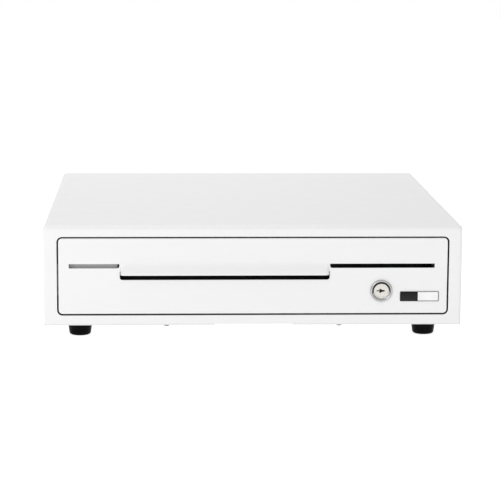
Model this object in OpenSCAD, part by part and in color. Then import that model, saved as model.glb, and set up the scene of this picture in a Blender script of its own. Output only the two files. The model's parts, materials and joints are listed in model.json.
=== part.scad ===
// Cash drawer: a sheet-steel cabinet on rubber feet, with a drawer on two ball rails, a front with two
// note slots and a bent-out grip lip, a three-position key lock, and a solenoid latch at the rear.
//
// x runs to the right, y into the cabinet and z up from the floor. The drawer opens towards -y.
// Every y below is measured from the cabinet's front plane, and the helper modules move it into place.

/* [Cabinet] */
// Width over the side walls
body_w = 410; // [400:1:430]
// Depth from the front plane to the rear edge of the side walls
body_d = 411; // [408:1:440]
// Height from the floor to the top
total_h = 111.4; // [108:0.1:120]
// Thickness of the sheet steel
sheet = 1; // [0.8:0.1:1]
// Bend radius along the top's two side edges
side_bend_r = 3.5; // [2:0.5:6]
// Bend radius along the top's front edge and down the front corners
front_bend_r = 4; // [2:0.5:5]
// How far the rear panel sits inside the side walls' rear edges
rear_recess = 3; // [2.5:0.5:5]

/* [Feet] */
// Height of the rubber feet
foot_h = 13.4; // [10:0.1:20]
// Diameter of a foot where it meets the base
foot_top_d = 24.5; // [20:0.5:30]
// Diameter of a foot at the floor
foot_floor_d = 21.5; // [16:0.5:26]
// Distance of a foot's centre from the nearest side wall
foot_inset_x = 34.5; // [25:0.5:60]
// Distance of a foot's centre from the front plane or the rear edge
foot_inset_y = 25; // [20:1:60]

/* [Drawer front] */
// Width of the drawer front
front_w = 380.6; // [378:0.1:381]
// Height of the drawer front
front_h = 74.7; // [72:0.1:76]
// Height of its lower edge above the floor
front_z = 24.7; // [24:0.1:26]
// Gap between the drawer front and the frame
front_gap = 1.4; // [1:0.1:2]
// Corner radius of the drawer front
front_corner_r = 3.8; // [3:0.1:8]
// Depth of the edges that are folded back
front_return = 11; // [8:1:12]

/* [Slots and grip] */
// Height of the slots' top edge above the floor
slot_top_z = 74.1; // [70:0.1:78]
// Height of the two note slots
slot_h = 4.2; // [4.2:0.1:6]
// Left end of the left slot
left_slot_x = -180.1; // [-182:0.1:-170]
// Left end of the grip lip
lip_left_x = -130; // [-140:1:-100]
// Right end of the grip lip
lip_right_x = 74; // [50:1:80]
// Right end of the right slot
right_slot_x = 177.7; // [150:0.1:182]
// How far the lip stands out of the front plane
lip_out = 5; // [3:0.5:8]
// Height of the lip's lower edge above the floor
lip_low_z = 63.3; // [62:0.1:66]
// Height of the window's lower edge, behind and below the lip
window_low_z = 58.3; // [57:0.1:58.5]

/* [Lock and badge] */
// Lock centre, to the right of the middle
lock_x = 125.5; // [110:0.5:130]
// Lock centre above the floor
lock_z = 47.1; // [45:0.1:50]
// Diameter of the chromed collar
collar_d = 21.8; // [20:0.1:26]
// Diameter of the turning plug
plug_d = 15; // [13:0.5:16]
// Width of the plain badge
badge_w = 38.2; // [20:0.1:45]
// Height of the plain badge
badge_h = 9.8; // [6:0.1:12]

/* [Rails] */
// Travel of the drawer
travel = 260; // [200:5:260]
// Length of the rails
rail_len = 328; // [320:1:328]
// Height of the outer rails
rail_h = 27; // [27:1:30]
// Rail centre above the floor
rail_z = 57; // [54:1:62]
// Diameter of the bearing balls
ball_d = 4.4; // [4:0.1:4.4]
// Balls along each row of a cage
balls_per_row = 6; // [3:1:8]

/* [Till] */
// Width of the till
till_w = 348; // [340:1:350]
// Depth of the till
till_d = 296; // [280:1:296]
// Height of the till
till_h = 48; // [44:1:48]
// Coin cups across the coin tray
coin_columns = 4; // [3:1:5]
// Coin cups from front to back
coin_rows = 2; // [1:1:2]
// Angle of a note clip below the level when it is down
clip_drop = 36; // [20:1:36]

/* [Hidden] */

$fn = 48;
eps = 0.01; // overlap that makes a cut pass right through
fit = 0.05; // radial clearance of a turning or sliding fit
weld_gap = 0.1; // space left between parts that are spot-welded

// Cabinet
front_y = (lip_out - body_d) / 2; // puts the middle of the whole depth, lip included, at y = 0
half_w = body_w / 2;
inner_x = half_w - sheet; // inner face of the side walls
base_top = foot_h + sheet;
side_drop = 1; // how far the side walls reach below the base pan
panel_y = body_d - rear_recess - sheet; // front face of the rear panel
rim = 10; // width of the cover's rear flanges
base_flange_h = 12; // height of the base pan's folded edges
notch = [-38, 39]; // gap in the base pan's front edge
frame_fold = 14; // depth of the fold under the front frame
base_screw_x = 85;
base_screw_y = 8;
panel_screw_z = [40, 85];
bumper_x = 170;

// Drawer
wall_x = 181; // outer face of the tray's sides
tray_y = [1.3, 340]; // front edge and rear face of the tray
tray_z = front_z + 1.3; // underside of the tray's floor
tray_top = 88;
floor_z = tray_z + sheet; // top of the tray's floor
front_sheet = 1.2;

// Rails, drawn outwards from the tray's side as u and up and down from the rail's centre as v
rail_y = 13; // front end of both rails, drawer closed
rail_t = 10; // thickness of a whole rail
ball_u = 5;
ball_v = 10.25;
ball_r = ball_d / 2;
cage_len = rail_len - travel - 4;
cage_y = rail_y + travel / 2 + 2;

// Lock and the lever under the till
barrel_r = 9.5;
lock_tail = 26; // depth of the plug's rear end
cam_t = 2;
cam_r = 12; // from the lock's axis to the cam's drive pin
drive_pin_r = 2;
fork_y = lock_tail + cam_t + 2;
lever_z = floor_z + 1.5;
lever_t = 2;
lever_w = 12;
lever_pivot_y = 180;
lever_swing = 11; // room for the lever's end in the tray's back, each way
fork_t = 1.5;

// Till
note_bays = 5; // each has its own clip node
ledge_top = 42;
till_y = 38;
till_z = ledge_top;
till_wall = 2;
note_bay_d = 165;
till_rear = till_y + till_d;
bay_wall_y = till_rear - till_wall - note_bay_d;
clip_y = till_rear - 12;
clip_z = till_z + 40;
clip_len = 60;
clip_rod_r = 2;
bay_w = (till_w - till_wall * (note_bays + 1)) / note_bays;

// Latch: a lever on a vertical post, whose jaw swings in front of the strike's pin
post_x = 145.9;
post_y = 386;
post_r = 3;
latch_z = 36;
latch_t = 3;
latch_half = 6; // degrees each way from the middle of the latch's swing
strike_x = post_x - 13;
strike_y = post_y - 32.9;
strike_pin_r = 2.5;
plate_z = base_top; // underside of the mechanism plate
plate_t = 2;
plate_top = plate_z + plate_t;
plunger_z = latch_z + latch_t / 2;
plunger_arm = 22; // from the post to the plunger's pin
plunger_y = post_y - plunger_arm;
solenoid_x = [158, 192];
solenoid_half = 12;
switch_x = 60;
switch_y = 358;
ejector_x = 20;
ejector_z = 60;
ejector_plate_y = 398;
socket_x = 100;
socket_z = 60;
socket_w = 16;

// ---------------------------------------------------------------- helpers

module at(x, y, z) translate([x, front_y + y, z]) children();

// A box from three spans: each is [from, to].
module block(x, y, z) at(x[0], y[0], z[0]) cube([x[1] - x[0], y[1] - y[0], z[1] - z[0]]);

module rod_x(r, x, y, z) at(x[0], y, z) rotate([0, 90, 0]) cylinder(r = r, h = x[1] - x[0]);

module rod_y(r, x, y, z) at(x, y[0], z) rotate([-90, 0, 0]) cylinder(r = r, h = y[1] - y[0]);

module rod_z(r, x, y, z) at(x, y, z[0]) cylinder(r = r, h = z[1] - z[0]);

module round_rect(w, h, r) {
    square([w - 2 * r, h], center = true);
    square([w, h - 2 * r], center = true);
    for (sx = [-1, 1], sy = [-1, 1])
        translate([sx * (w / 2 - r), sy * (h / 2 - r)]) circle(r);
}

// A rounded rectangle standing in the x-z plane, pushed back from y[0] to y[1].
module upright_plate(w, h, r, x, y, z)
    at(x, y[1], z) rotate([90, 0, 0]) linear_extrude(y[1] - y[0]) round_rect(w, h, r);

module flip_x(side) mirror([side < 0 ? 1 : 0, 0, 0]) children();

// A pan-head screw whose head sits on the plane z = 0 and whose shank goes down.
module pan_screw(shank_r, length, head_r, head_h) {
    translate([0, 0, -length]) cylinder(r = shank_r, h = length + eps);
    rotate_extrude() difference() {
        dome_profile(head_r, head_h);
        translate([-eps, head_h - 0.9]) square([0.35, 2]);
    }
}

// Half of a low dome: a circle's cap, of radius r and height h, standing on the x axis.
module dome_profile(r, h) {
    ball = (r * r + h * h) / (2 * h);
    intersection() {
        translate([0, h - ball]) circle(ball, $fn = 96);
        square([r, h]);
    }
}

// ---------------------------------------------------------------- cabinet

// A block with rounded long edges on top, a rounded top front edge and rounded front corners.
module cabinet_block(inset, low, rear) {
    side_r = side_bend_r - inset;
    front_r = front_bend_r - inset;
    w = body_w - 2 * inset;
    high = total_h - inset;
    tall = high - low;
    long = rear - inset;
    intersection() {
        at(0, rear, low) rotate([90, 0, 0]) linear_extrude(long) union() {
            translate([-w / 2, 0]) square([w, tall - side_r]);
            translate([-w / 2 + side_r, 0]) square([w - 2 * side_r, tall]);
            for (side = [-1, 1])
                translate([side * (w / 2 - side_r), tall - side_r]) circle(side_r);
        }
        at(-w / 2, inset, low) rotate([90, 0, 90]) linear_extrude(w) union() {
            square([long, tall - front_r]);
            translate([front_r, 0]) square([long - front_r, tall]);
            translate([front_r, tall - front_r]) circle(front_r);
        }
        at(0, inset, low) linear_extrude(tall) union() {
            translate([-w / 2 + front_r, 0]) square([w - 2 * front_r, long]);
            translate([-w / 2, front_r]) square([w, long - front_r]);
            for (side = [-1, 1])
                translate([side * (w / 2 - front_r), front_r]) circle(front_r);
        }
    }
}

module top_cover() {
    opening_w = front_w + 2 * front_gap;
    opening_h = front_h + 2 * front_gap;
    color("whitesmoke") {
        difference() {
            cabinet_block(0, foot_h - side_drop, body_d);
            cabinet_block(sheet, 0, body_d + 1);
            upright_plate(opening_w, opening_h, front_corner_r + front_gap, 0, [-1, 2 * sheet],
                front_z + front_h / 2);
            block([-inner_x, inner_x], [-1, 2 * sheet], [0, base_top]);
        }
        difference() {
            block([-front_w / 2, front_w / 2], [sheet - eps, frame_fold], [base_top, base_top + sheet]);
            for (side = [-1, 1])
                rod_z(1.7, side * base_screw_x, base_screw_y, [base_top - 1, base_top + 2 * sheet]);
        }
        difference() {
            block([-inner_x - eps, inner_x + eps], [panel_y - sheet, panel_y],
                [base_top, total_h - sheet + eps]);
            block([rim - inner_x, inner_x - rim], [panel_y - 2 * sheet, panel_y + 1],
                [0, total_h - sheet - rim]);
            panel_screw_holes(1.25);
        }
    }
}

module panel_screw_holes(r) {
    for (side = [-1, 1]) {
        for (z = panel_screw_z)
            rod_y(r, side * (inner_x - rim / 2), [panel_y - 2 * sheet, body_d], z);
        rod_y(r, side * body_w / 4, [panel_y - 2 * sheet, body_d], total_h - sheet - rim / 2);
    }
}

module base_pan() {
    flange_x = inner_x - weld_gap;
    flange_y = [front_bend_r, panel_y - 2 * sheet];
    color("gainsboro") difference() {
        union() {
            block([-flange_x, flange_x], [0.3, panel_y], [foot_h, base_top]);
            for (side = [-1, 1])
                flip_x(side)
                    block([flange_x - sheet, flange_x], flange_y, [foot_h, foot_h + base_flange_h]);
            block([rim + 1 - inner_x, inner_x - rim - 1], [panel_y - sheet, panel_y],
                [foot_h, foot_h + base_flange_h]);
        }
        block(notch, [-1, 6], [0, base_top + 1]);
        for_each_foot() rod_z(2.15, 0, 0, [foot_h - 1, base_top + 1]);
        for (side = [-1, 1])
            rod_z(1.7, side * base_screw_x, base_screw_y, [foot_h - 1, base_top + 1]);
    }
}

module rear_panel() {
    gap = 2 * weld_gap;
    low = base_top;
    high = total_h - sheet;
    color("whitesmoke") difference() {
        upright_plate(2 * inner_x - gap, high - low - gap, side_bend_r - sheet, 0,
            [panel_y, panel_y + sheet], (low + high) / 2);
        panel_screw_holes(1.6);
        upright_plate(socket_w + 2 * weld_gap, socket_w + 2 * weld_gap, 0.5, socket_x,
            [panel_y - 1, body_d], socket_z);
    }
}

module rear_panel_screws() {
    color("silver") for (side = [-1, 1]) {
        for (z = panel_screw_z)
            at(side * (inner_x - rim / 2), panel_y + sheet, z) panel_screw();
        at(side * body_w / 4, panel_y + sheet, total_h - sheet - rim / 2) panel_screw();
    }
}

module panel_screw() rotate([-90, 0, 0]) pan_screw(1.2, 7, 2.8, 1.8);

// Foot centres in the cabinet: [side, depth].
foot_places = [
    [-1, foot_inset_y], [1, foot_inset_y],
    [-1, body_d - foot_inset_y], [1, body_d - foot_inset_y]
];

module at_foot(i) translate([foot_places[i][0] * (half_w - foot_inset_x), foot_places[i][1], 0]) children();

module for_each_foot() for (i = [0:3]) at_foot(i) children();

module foot(i) {
    edge_r = 2.5;
    top_r = foot_top_d / 2;
    floor_r = foot_floor_d / 2;
    color("#181818") at_foot(i) at(0, 0, 0) rotate_extrude() difference() {
        union() {
            polygon([[0, edge_r], [floor_r, edge_r], [top_r, foot_h], [0, foot_h]]);
            square([floor_r - edge_r, edge_r + eps]);
            translate([floor_r - edge_r, edge_r]) circle(edge_r);
        }
        translate([-2, -1]) square([6, 7]);
        translate([-2, -1]) square([4.1, foot_h + 2]);
    }
}

module foot_screws() {
    seat_z = 6;
    color("silver") for_each_foot()
        at(0, 0, seat_z) mirror([0, 0, 1]) pan_screw(2, base_top + 4 - seat_z, 3.7, 2.4);
}

module base_screws() {
    color("silver") for (side = [-1, 1])
        at(side * base_screw_x, base_screw_y, foot_h) mirror([0, 0, 1]) pan_screw(1.5, 6, 3.25, 2.4);
}

module close_bumpers() {
    color("#202020") for (side = [-1, 1])
        block([side * bumper_x - 7, side * bumper_x + 7], [tray_y[1] + 0.4, tray_y[1] + 8],
            [base_top, tray_z + 14]);
}

// ---------------------------------------------------------------- rails

// Extrudes a profile drawn in rail coordinates along y: u outwards from the tray's side, v up.
module along_rail(side, y, length)
    flip_x(side) at(wall_x, y + length, rail_z) rotate([90, 0, 0]) linear_extrude(length) children();

module mirror_v() {
    children();
    mirror([0, 1]) children();
}

module rail_bracket(side) {
    web_u = rail_t;
    foot_u = inner_x - sheet - wall_x - weld_gap;
    half = rail_h / 2 + 2.5;
    color("gainsboro") along_rail(side, rail_y, rail_len) {
        translate([web_u, -half]) square([sheet, 2 * half]);
        mirror_v() {
            translate([web_u, half - sheet]) square([foot_u - web_u + sheet, sheet]);
            translate([foot_u, half - sheet]) square([sheet, 11]);
        }
    }
}

module outer_rail(side) {
    color("silver") along_rail(side, rail_y, rail_len) {
        translate([rail_t - 1, -rail_h / 2]) square([1, rail_h]);
        mirror_v() {
            translate([2, rail_h / 2 - 1]) square([rail_t - 2, 1]);
            translate([2, rail_h / 2 - 2.2]) square([0.9, 2.2]);
        }
    }
}

module inner_rail(side) {
    flange_v = ball_v - ball_r - fit;
    color("silver") difference() {
        along_rail(side, rail_y, rail_len) {
            translate([0, -flange_v]) square([1.2, 2 * flange_v]);
            mirror_v() {
                translate([0, flange_v - 1]) square([7.4, 1]);
                translate([6.5, flange_v - 1]) square([0.9, 1.6]);
            }
        }
        rail_screw_places(side) rotate([0, 90, 0]) cylinder(r = 2 + fit, h = 8, center = true);
    }
}

module rail_screw_places(side)
    for (y = [40, rail_len / 2, rail_len - 40])
        flip_x(side) at(wall_x, rail_y + y, rail_z) children();

module inner_rail_screws() {
    color("silver") for (side = [-1, 1])
        rail_screw_places(side) translate([-sheet, 0, 0]) rotate([0, -90, 0]) pan_screw(2, 3.6, 3.6, 1.8);
}

// Calls its children at each ball of one side's cage.
module ball_places(side) {
    pitch = cage_len / balls_per_row;
    for (v = [-1, 1], i = [0:balls_per_row - 1])
        flip_x(side) at(wall_x + ball_u, cage_y + pitch * (i + 0.5), rail_z + v * ball_v) children();
}

// A thin channel that holds the balls in holes along both of its flanges.
module ball_cage(side) {
    strip_t = 0.6;
    flange_u = [3.1, 8.5];
    half = ball_v + strip_t / 2;
    color("#c9b46a") difference() {
        along_rail(side, cage_y, cage_len) difference() {
            translate([flange_u[0], -half]) square([flange_u[1] - flange_u[0], 2 * half]);
            translate([0, strip_t - half]) square([flange_u[1] - strip_t, 2 * (half - strip_t)]);
        }
        ball_places(side) cylinder(r = ball_r + fit, h = 2, center = true);
    }
}

module bearing_balls(side) color("silver") ball_places(side) sphere(ball_r);

// ---------------------------------------------------------------- drawer

module drawer_front() {
    mid_z = front_z + front_h / 2;
    color("white") difference() {
        union() {
            difference() {
                upright_plate(front_w, front_h, front_corner_r, 0, [0, front_return], mid_z);
                upright_plate(front_w - 2 * front_sheet, front_h - 2 * front_sheet,
                    front_corner_r - front_sheet, 0, [front_sheet, front_return + 1], mid_z);
                front_window();
            }
            grip_lip();
        }
        rod_y(barrel_r + fit, lock_x, [-1, 3], lock_z);
        front_screw_places() cylinder(r = 1.6, h = 8, center = true);
    }
}

// The openings cut through the front: a slot at each side, and the window behind and below the lip.
// The window is wider than the lip only at its lower end, where the lip's ends are cut free.
module front_window() {
    r = 2.5;
    end_gap = 0.6;
    w = lip_right_x - lip_left_x;
    middle = (lip_left_x + lip_right_x) / 2;
    cut_h = lip_low_z + 3 - window_low_z;
    note_slot(left_slot_x, lip_left_x - 1);
    mirror([1, 0, 0]) note_slot(-right_slot_x, -lip_right_x - 1);
    block([lip_left_x, lip_right_x], [-1, 3], [lip_low_z, slot_top_z]);
    upright_plate(w + 2 * end_gap, cut_h, r, middle, [-1, 3], window_low_z + cut_h / 2);
}

// A slot from its square outer end to its inner end, whose lower corner is rounded.
module note_slot(outer_x, inner_end_x) {
    r = 2;
    low = slot_top_z - slot_h;
    block([outer_x, inner_end_x - r], [-1, 3], [low, slot_top_z]);
    block([inner_end_x - r - eps, inner_end_x], [-1, 3], [low + r, slot_top_z]);
    rod_y(r, inner_end_x - r, [-1, 3], low + r);
}

// The tab above the window, bent out of the front plane, with a hem rolled along its lower edge.
module grip_lip() {
    hem_r = 1;
    hem_y = hem_r - lip_out;
    hem_z = lip_low_z + hem_r;
    at(lip_left_x, 0, 0) rotate([90, 0, 90]) linear_extrude(lip_right_x - lip_left_x) {
        polygon([
            [0, slot_top_z + 5], [0, slot_top_z], [hem_y - hem_r * 0.9, hem_z + 1],
            [hem_y + hem_r, hem_z], [front_sheet, slot_top_z], [front_sheet, slot_top_z + 5]
        ]);
        translate([hem_y, hem_z]) circle(hem_r);
    }
}

module drawer_tray() {
    color("gainsboro") difference() {
        union() {
            block([-wall_x, wall_x], tray_y, [tray_z, floor_z]);
            for (side = [-1, 1])
                flip_x(side) {
                    block([wall_x - sheet, wall_x], tray_y, [tray_z, tray_top]);
                    block([wall_x - sheet, wall_x + 7], [tray_y[0], tray_y[0] + sheet],
                        [floor_z, tray_top]);
                }
            block([-wall_x, wall_x], [tray_y[1] - sheet, tray_y[1]], [tray_z, tray_top]);
        }
        block([lock_x - lever_w / 2 - lever_swing, lock_x + lever_w / 2 + lever_swing],
            [tray_y[1] - 2, tray_y[1] + 1], [floor_z, lever_z + lever_t + 2]);
        for (side = [-1, 1])
            rail_screw_places(side) rotate([0, 90, 0]) cylinder(r = 2 + fit, h = 8, center = true);
        front_screw_places() cylinder(r = 1.6, h = 8, center = true);
        rod_z(3, lock_x, lever_pivot_y, [tray_z - 1, floor_z + 1]);
    }
}

module front_screw_places()
    for (x = [-140, -50, 50, 150]) at(x, 6, tray_z) children();

module front_screws() {
    color("silver") front_screw_places()
        translate([0, 0, sheet]) pan_screw(1.5, floor_z - front_z, 3, 1.8);
}

// A folded strip behind the left slot that turns what is pushed in downwards.
module note_guide() {
    x = [sheet - wall_x + 0.3, lip_left_x - 3];
    color("white") at(x[0], 0, 0) rotate([90, 0, 90]) linear_extrude(x[1] - x[0])
        polygon([
            [front_sheet, slot_top_z + 8], [front_sheet, slot_top_z + 1],
            [front_sheet + 5, slot_top_z - 1], [front_sheet + 9, slot_top_z - 14],
            [front_sheet + 10, slot_top_z - 13.7], [front_sheet + 6, slot_top_z],
            [front_sheet + 1, slot_top_z + 2], [front_sheet + 1, slot_top_z + 8]
        ]);
}

module badge()
    color("gainsboro") upright_plate(badge_w, badge_h, 1.2, 163, [-0.8, 0], 41.6);

module lock_body() {
    collar_r = collar_d / 2;
    rim_r = 0.9;
    color("silver") at(lock_x, 0, lock_z) rotate([-90, 0, 0]) rotate_extrude() difference() {
        union() {
            translate([0, -1.8 + rim_r]) square([collar_r, 1.8 - rim_r]);
            translate([0, -1.8]) square([collar_r - rim_r, 1.8]);
            translate([collar_r - rim_r, -1.8 + rim_r]) circle(rim_r);
            square([barrel_r, lock_tail - 2]);
        }
        translate([-1, -3]) square([1 + plug_d / 2 + fit, lock_tail + 3]);
        translate([-1, -3]) square([1 + plug_d / 2 + 1.2, 3]);
    }
}

module lock_nut() {
    color("silver") difference() {
        at(lock_x, front_sheet, lock_z) rotate([-90, 0, 0]) cylinder(r = 13.5, h = 3, $fn = 6);
        rod_y(barrel_r + fit, lock_x, [0, 10], lock_z);
    }
}

module lock_plug() {
    face_y = -0.7;
    color("silver") difference() {
        rod_y(plug_d / 2, lock_x, [face_y, lock_tail], lock_z);
        block([lock_x - 3.6, lock_x + 3.6], [face_y - 1, 6], [lock_z - 0.9, lock_z + 0.9]);
        block([lock_x + 0.6, lock_x + 3.6], [face_y - 1, 6], [lock_z - 1.6, lock_z + 1.6]);
    }
}

module lock_cam() {
    tail = [lock_tail, lock_tail + cam_t];
    color("silver") {
        rod_y(plug_d / 2, lock_x, tail, lock_z);
        rod_y(4, lock_x, tail, lock_z - cam_r);
        block([lock_x - 4, lock_x + 4], tail, [lock_z - cam_r, lock_z]);
        rod_y(drive_pin_r, lock_x, [tail[0], fork_y + fork_t + 1], lock_z - cam_r);
    }
}

// A flat bar on a rivet in the tray's floor: the cam moves its forked front end, and the finger at its
// rear end reaches through the tray's back to the latch.
module lock_lever() {
    z = [lever_z, lever_z + lever_t];
    finger_x = lock_x + 1.2;
    finger_y = post_y - 41.5;
    color("silver") difference() {
        union() {
            block([lock_x - lever_w / 2, lock_x + lever_w / 2], [fork_y, finger_y + 3.5], z);
            rod_z(9, lock_x, lever_pivot_y, z);
            block([lock_x - 7, lock_x + 7], [fork_y, fork_y + fork_t], [z[0], lock_z - 4.6]);
            block([finger_x - 4, finger_x], [finger_y, finger_y + 3.5], [z[0], latch_z + latch_t]);
        }
        rod_z(3 + fit, lock_x, lever_pivot_y, [z[0] - 1, z[1] + 1]);
        block([lock_x - drive_pin_r - 0.5, lock_x + drive_pin_r + 0.5], [fork_y - 1, fork_y + fork_t + 1],
            [lock_z - cam_r - drive_pin_r - 0.5, lock_z]);
    }
}

module lever_rivet() {
    color("silver") {
        rod_z(3, lock_x, lever_pivot_y, [tray_z, lever_z + lever_t + 0.4]);
        rod_z(5, lock_x, lever_pivot_y, [floor_z, lever_z - 0.3]);
        rod_z(5, lock_x, lever_pivot_y, [lever_z + lever_t + 0.3, lever_z + lever_t + 1.8]);
    }
}

// Two angle brackets on the tray's back: one carries the pin that the latch holds, the other, lower one
// presses the switch's blade when the drawer is pushed fully home.
module catch_strike() {
    pin_arm_z = latch_z + latch_t + 3;
    tab_z = plate_top + 4;
    color("silver") {
        angle_bracket([strike_x - 8, strike_x + 8], strike_y + 5, [pin_arm_z, pin_arm_z + 18], 2);
        rod_z(strike_pin_r, strike_x, strike_y, [latch_z - 2, pin_arm_z + eps]);
        angle_bracket([switch_x + 16, switch_x + 24], switch_y - 6.6, [tab_z, tab_z + 24], 1.5);
    }
}

module angle_bracket(x, end_y, z, thick) {
    block(x, [tray_y[1], tray_y[1] + thick], z);
    block(x, [tray_y[1], end_y], [z[0], z[0] + thick]);
}

module till_ledge(side) {
    y = [till_y + 8, till_rear - 4];
    color("gainsboro") flip_x(side) {
        block([wall_x - 2 * sheet, wall_x - sheet], y, [ledge_top - 12, ledge_top]);
        block([wall_x - 15, wall_x - sheet], y, [ledge_top - sheet, ledge_top]);
    }
}

// ---------------------------------------------------------------- rear mechanism

module mechanism_plate() {
    color("silver") difference() {
        block([-6, 196], [348, 404], [plate_z, plate_top]);
        rod_z(4, 130, 397, [plate_z - 1, plate_top + 1]);
        rod_z(4, 44, 397, [plate_z - 1, plate_top + 1]);
        for_each_foot() rod_z(2.15, 0, 0, [plate_z - 1, plate_top + 1]);
    }
}

module latch_pivot_post() {
    top = latch_z + latch_t;
    color("silver") {
        rod_z(5, post_x, post_y, [plate_top, latch_z - 0.2]);
        rod_z(post_r, post_x, post_y, [plate_top, top + 2.4]);
        rod_z(5.5, post_x, post_y, [top + 0.3, top + 1.1]);
    }
}

// A close-wound torsion spring around the post, with a leg to each side.
module latch_spring() {
    coil_z = [plate_top + 4, plate_top + 14];
    color("silver") {
        difference() {
            rod_z(7, post_x, post_y, coil_z);
            rod_z(5.4, post_x, post_y, [coil_z[0] - 1, coil_z[1] + 1]);
        }
        rod_x(0.7, [post_x - 20, post_x], post_y + 6.2, coil_z[0] + 0.8);
        rod_x(0.7, [post_x, post_x + 16], post_y + 6.2, coil_z[1] - 0.8);
    }
}

module latch_lever() {
    color("silver") at(post_x, post_y, latch_z) rotate([0, 0, latch_half]) difference() {
        union() {
            cylinder(r = 8, h = latch_t);
            translate([-5, -42, 0]) cube([10, 42, latch_t]);
            translate([-13, -42, 0]) cube([14, 4.5, latch_t]);
        }
        translate([0, 0, -1]) cylinder(r = post_r + fit, h = latch_t + 2);
        for (y = [-1, 1])
            translate([0, y * 1.5 - plunger_arm, -1]) cylinder(r = 1.9, h = latch_t + 2);
        translate([-1.9, -plunger_arm - 1.5, -1]) cube([3.8, 3, latch_t + 2]);
    }
}

module solenoid_frame() {
    wall = 2;
    y = [plunger_y - solenoid_half, plunger_y + solenoid_half];
    low = plunger_z - solenoid_half;
    color("#b8bcc0") difference() {
        union() {
            block(solenoid_x, y, [low, low + wall]);
            block([solenoid_x[0], solenoid_x[0] + wall], y, [plate_top, low + 2 * solenoid_half]);
            block([solenoid_x[1] - wall, solenoid_x[1]], y, [plate_top, low + 2 * solenoid_half]);
        }
        rod_x(4 + fit, [solenoid_x[0] - 1, solenoid_x[0] + wall + 1], plunger_y, plunger_z);
    }
}

module solenoid_coil() {
    x = [solenoid_x[0] + 2, solenoid_x[1] - 2];
    wound = [x[0] + 2, x[1] - 2];
    color("#8c2f1c") difference() {
        union() {
            rod_x(9.4, wound, plunger_y, plunger_z);
            for (flange = [[x[0], x[0] + 2 + eps], [x[1] - 2 - eps, x[1]]])
                rod_x(9.8, flange, plunger_y, plunger_z);
        }
        rod_x(4 + fit, [x[0] - 1, x[1] - 8], plunger_y, plunger_z);
    }
}

// The steel core, pulled in at rest, with a flat end and a pin through the latch lever's slot.
module solenoid_plunger() {
    pin_x = post_x + plunger_arm * tan(latch_half);
    color("silver") {
        rod_x(4, [solenoid_x[0] - 1, solenoid_x[1] - 13], plunger_y, plunger_z);
        block([pin_x - 3.2, solenoid_x[0]], [plunger_y - 3.5, plunger_y + 3.5],
            [latch_z + latch_t + 0.3, latch_z + latch_t + 1.8]);
        rod_z(1.5, pin_x, plunger_y, [latch_z - 0.8, latch_z + latch_t + 0.4]);
    }
}

module microswitch() {
    size = [28, 16, 10.3];
    color("#1d1d20") difference() {
        at(switch_x, switch_y, plate_top) cube(size);
        for (x = [6, 22])
            rod_z(1.6, switch_x + x, switch_y + 11, [plate_top - 1, plate_top + 12]);
    }
    color("#b03020") rod_y(1.2, switch_x + 9, [switch_y - 0.8, switch_y + 1], plate_top + 5);
}

// A thin spring-steel blade that stands off the switch at a small angle until the tray's tab meets it.
module switch_lever() {
    blade = 24;
    color("silver") at(switch_x + 1.5, switch_y - 1.5, plate_top + 2) rotate([0, 0, -11]) {
        cylinder(r = 0.9, h = 6);
        translate([0, -0.2, 0]) cube([blade, 0.5, 6]);
    }
}

module ejector_bracket() {
    color("silver") {
        block([ejector_x - 14, ejector_x + 14], [ejector_plate_y, ejector_plate_y + 2],
            [plate_top, ejector_z + 14]);
        block([ejector_x - 14, ejector_x + 14], [ejector_plate_y - 14, ejector_plate_y + 2],
            [plate_top, plate_top + 2]);
        rod_y(3, ejector_x, [tray_y[1] + 8, ejector_plate_y + 1], ejector_z);
    }
}

module ejector_pusher() {
    y = tray_y[1] + 0.3;
    color("#24324a") difference() {
        union() {
            rod_y(9, ejector_x, [y, y + 5], ejector_z);
            rod_y(5, ejector_x, [y, y + 50], ejector_z);
        }
        rod_y(3 + fit, ejector_x, [y + 3, y + 60], ejector_z);
    }
}

module ejector_spring() {
    color("silver") difference() {
        rod_y(8.5, ejector_x, [tray_y[1] + 5.6, ejector_plate_y - 0.2], ejector_z);
        rod_y(6.6, ejector_x, [tray_y[1], ejector_plate_y + 1], ejector_z);
    }
}

module interface_socket() {
    half = socket_w / 2;
    back = panel_y + sheet + 0.5;
    color("#202225") difference() {
        block([socket_x - half, socket_x + half], [back - 15, back], [socket_z - half, socket_z + half]);
        block([socket_x - 5, socket_x + 5], [back - 12, back + 1], [socket_z - 4.5, socket_z + 2.5]);
        block([socket_x - 3, socket_x + 3], [back - 8, back + 1], [socket_z - 6, socket_z]);
    }
}

// The lead from the socket to the coil: straight stretches joined by round bends.
module control_cable() {
    r = 1.5;
    socket_back = panel_y + sheet + 0.5 - 15;
    coil_top = plunger_z + 9.4;
    route = [
        [socket_x, socket_back, socket_z + 4],
        [socket_x, socket_back - 8, socket_z + 4],
        [socket_x, socket_back - 8, 84],
        [171, socket_back - 8, 84],
        [171, plunger_y, 70],
        [171, plunger_y, coil_top + fit]
    ];
    color("#303030") for (i = [1:len(route) - 1])
        cable_stretch(route[i - 1], route[i], r, i > 1);
}

module cable_stretch(from, to, r, bend) {
    way = to - from;
    at(from[0], from[1], from[2]) {
        if (bend) sphere(r);
        rotate([0, acos(way[2] / norm(way)), atan2(way[1], way[0])]) cylinder(r = r, h = norm(way));
    }
}

// ---------------------------------------------------------------- till

// Left edge of note bay i, counted from the left.
function bay_left(i) = -till_w / 2 + till_wall + i * (bay_w + till_wall);

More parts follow.
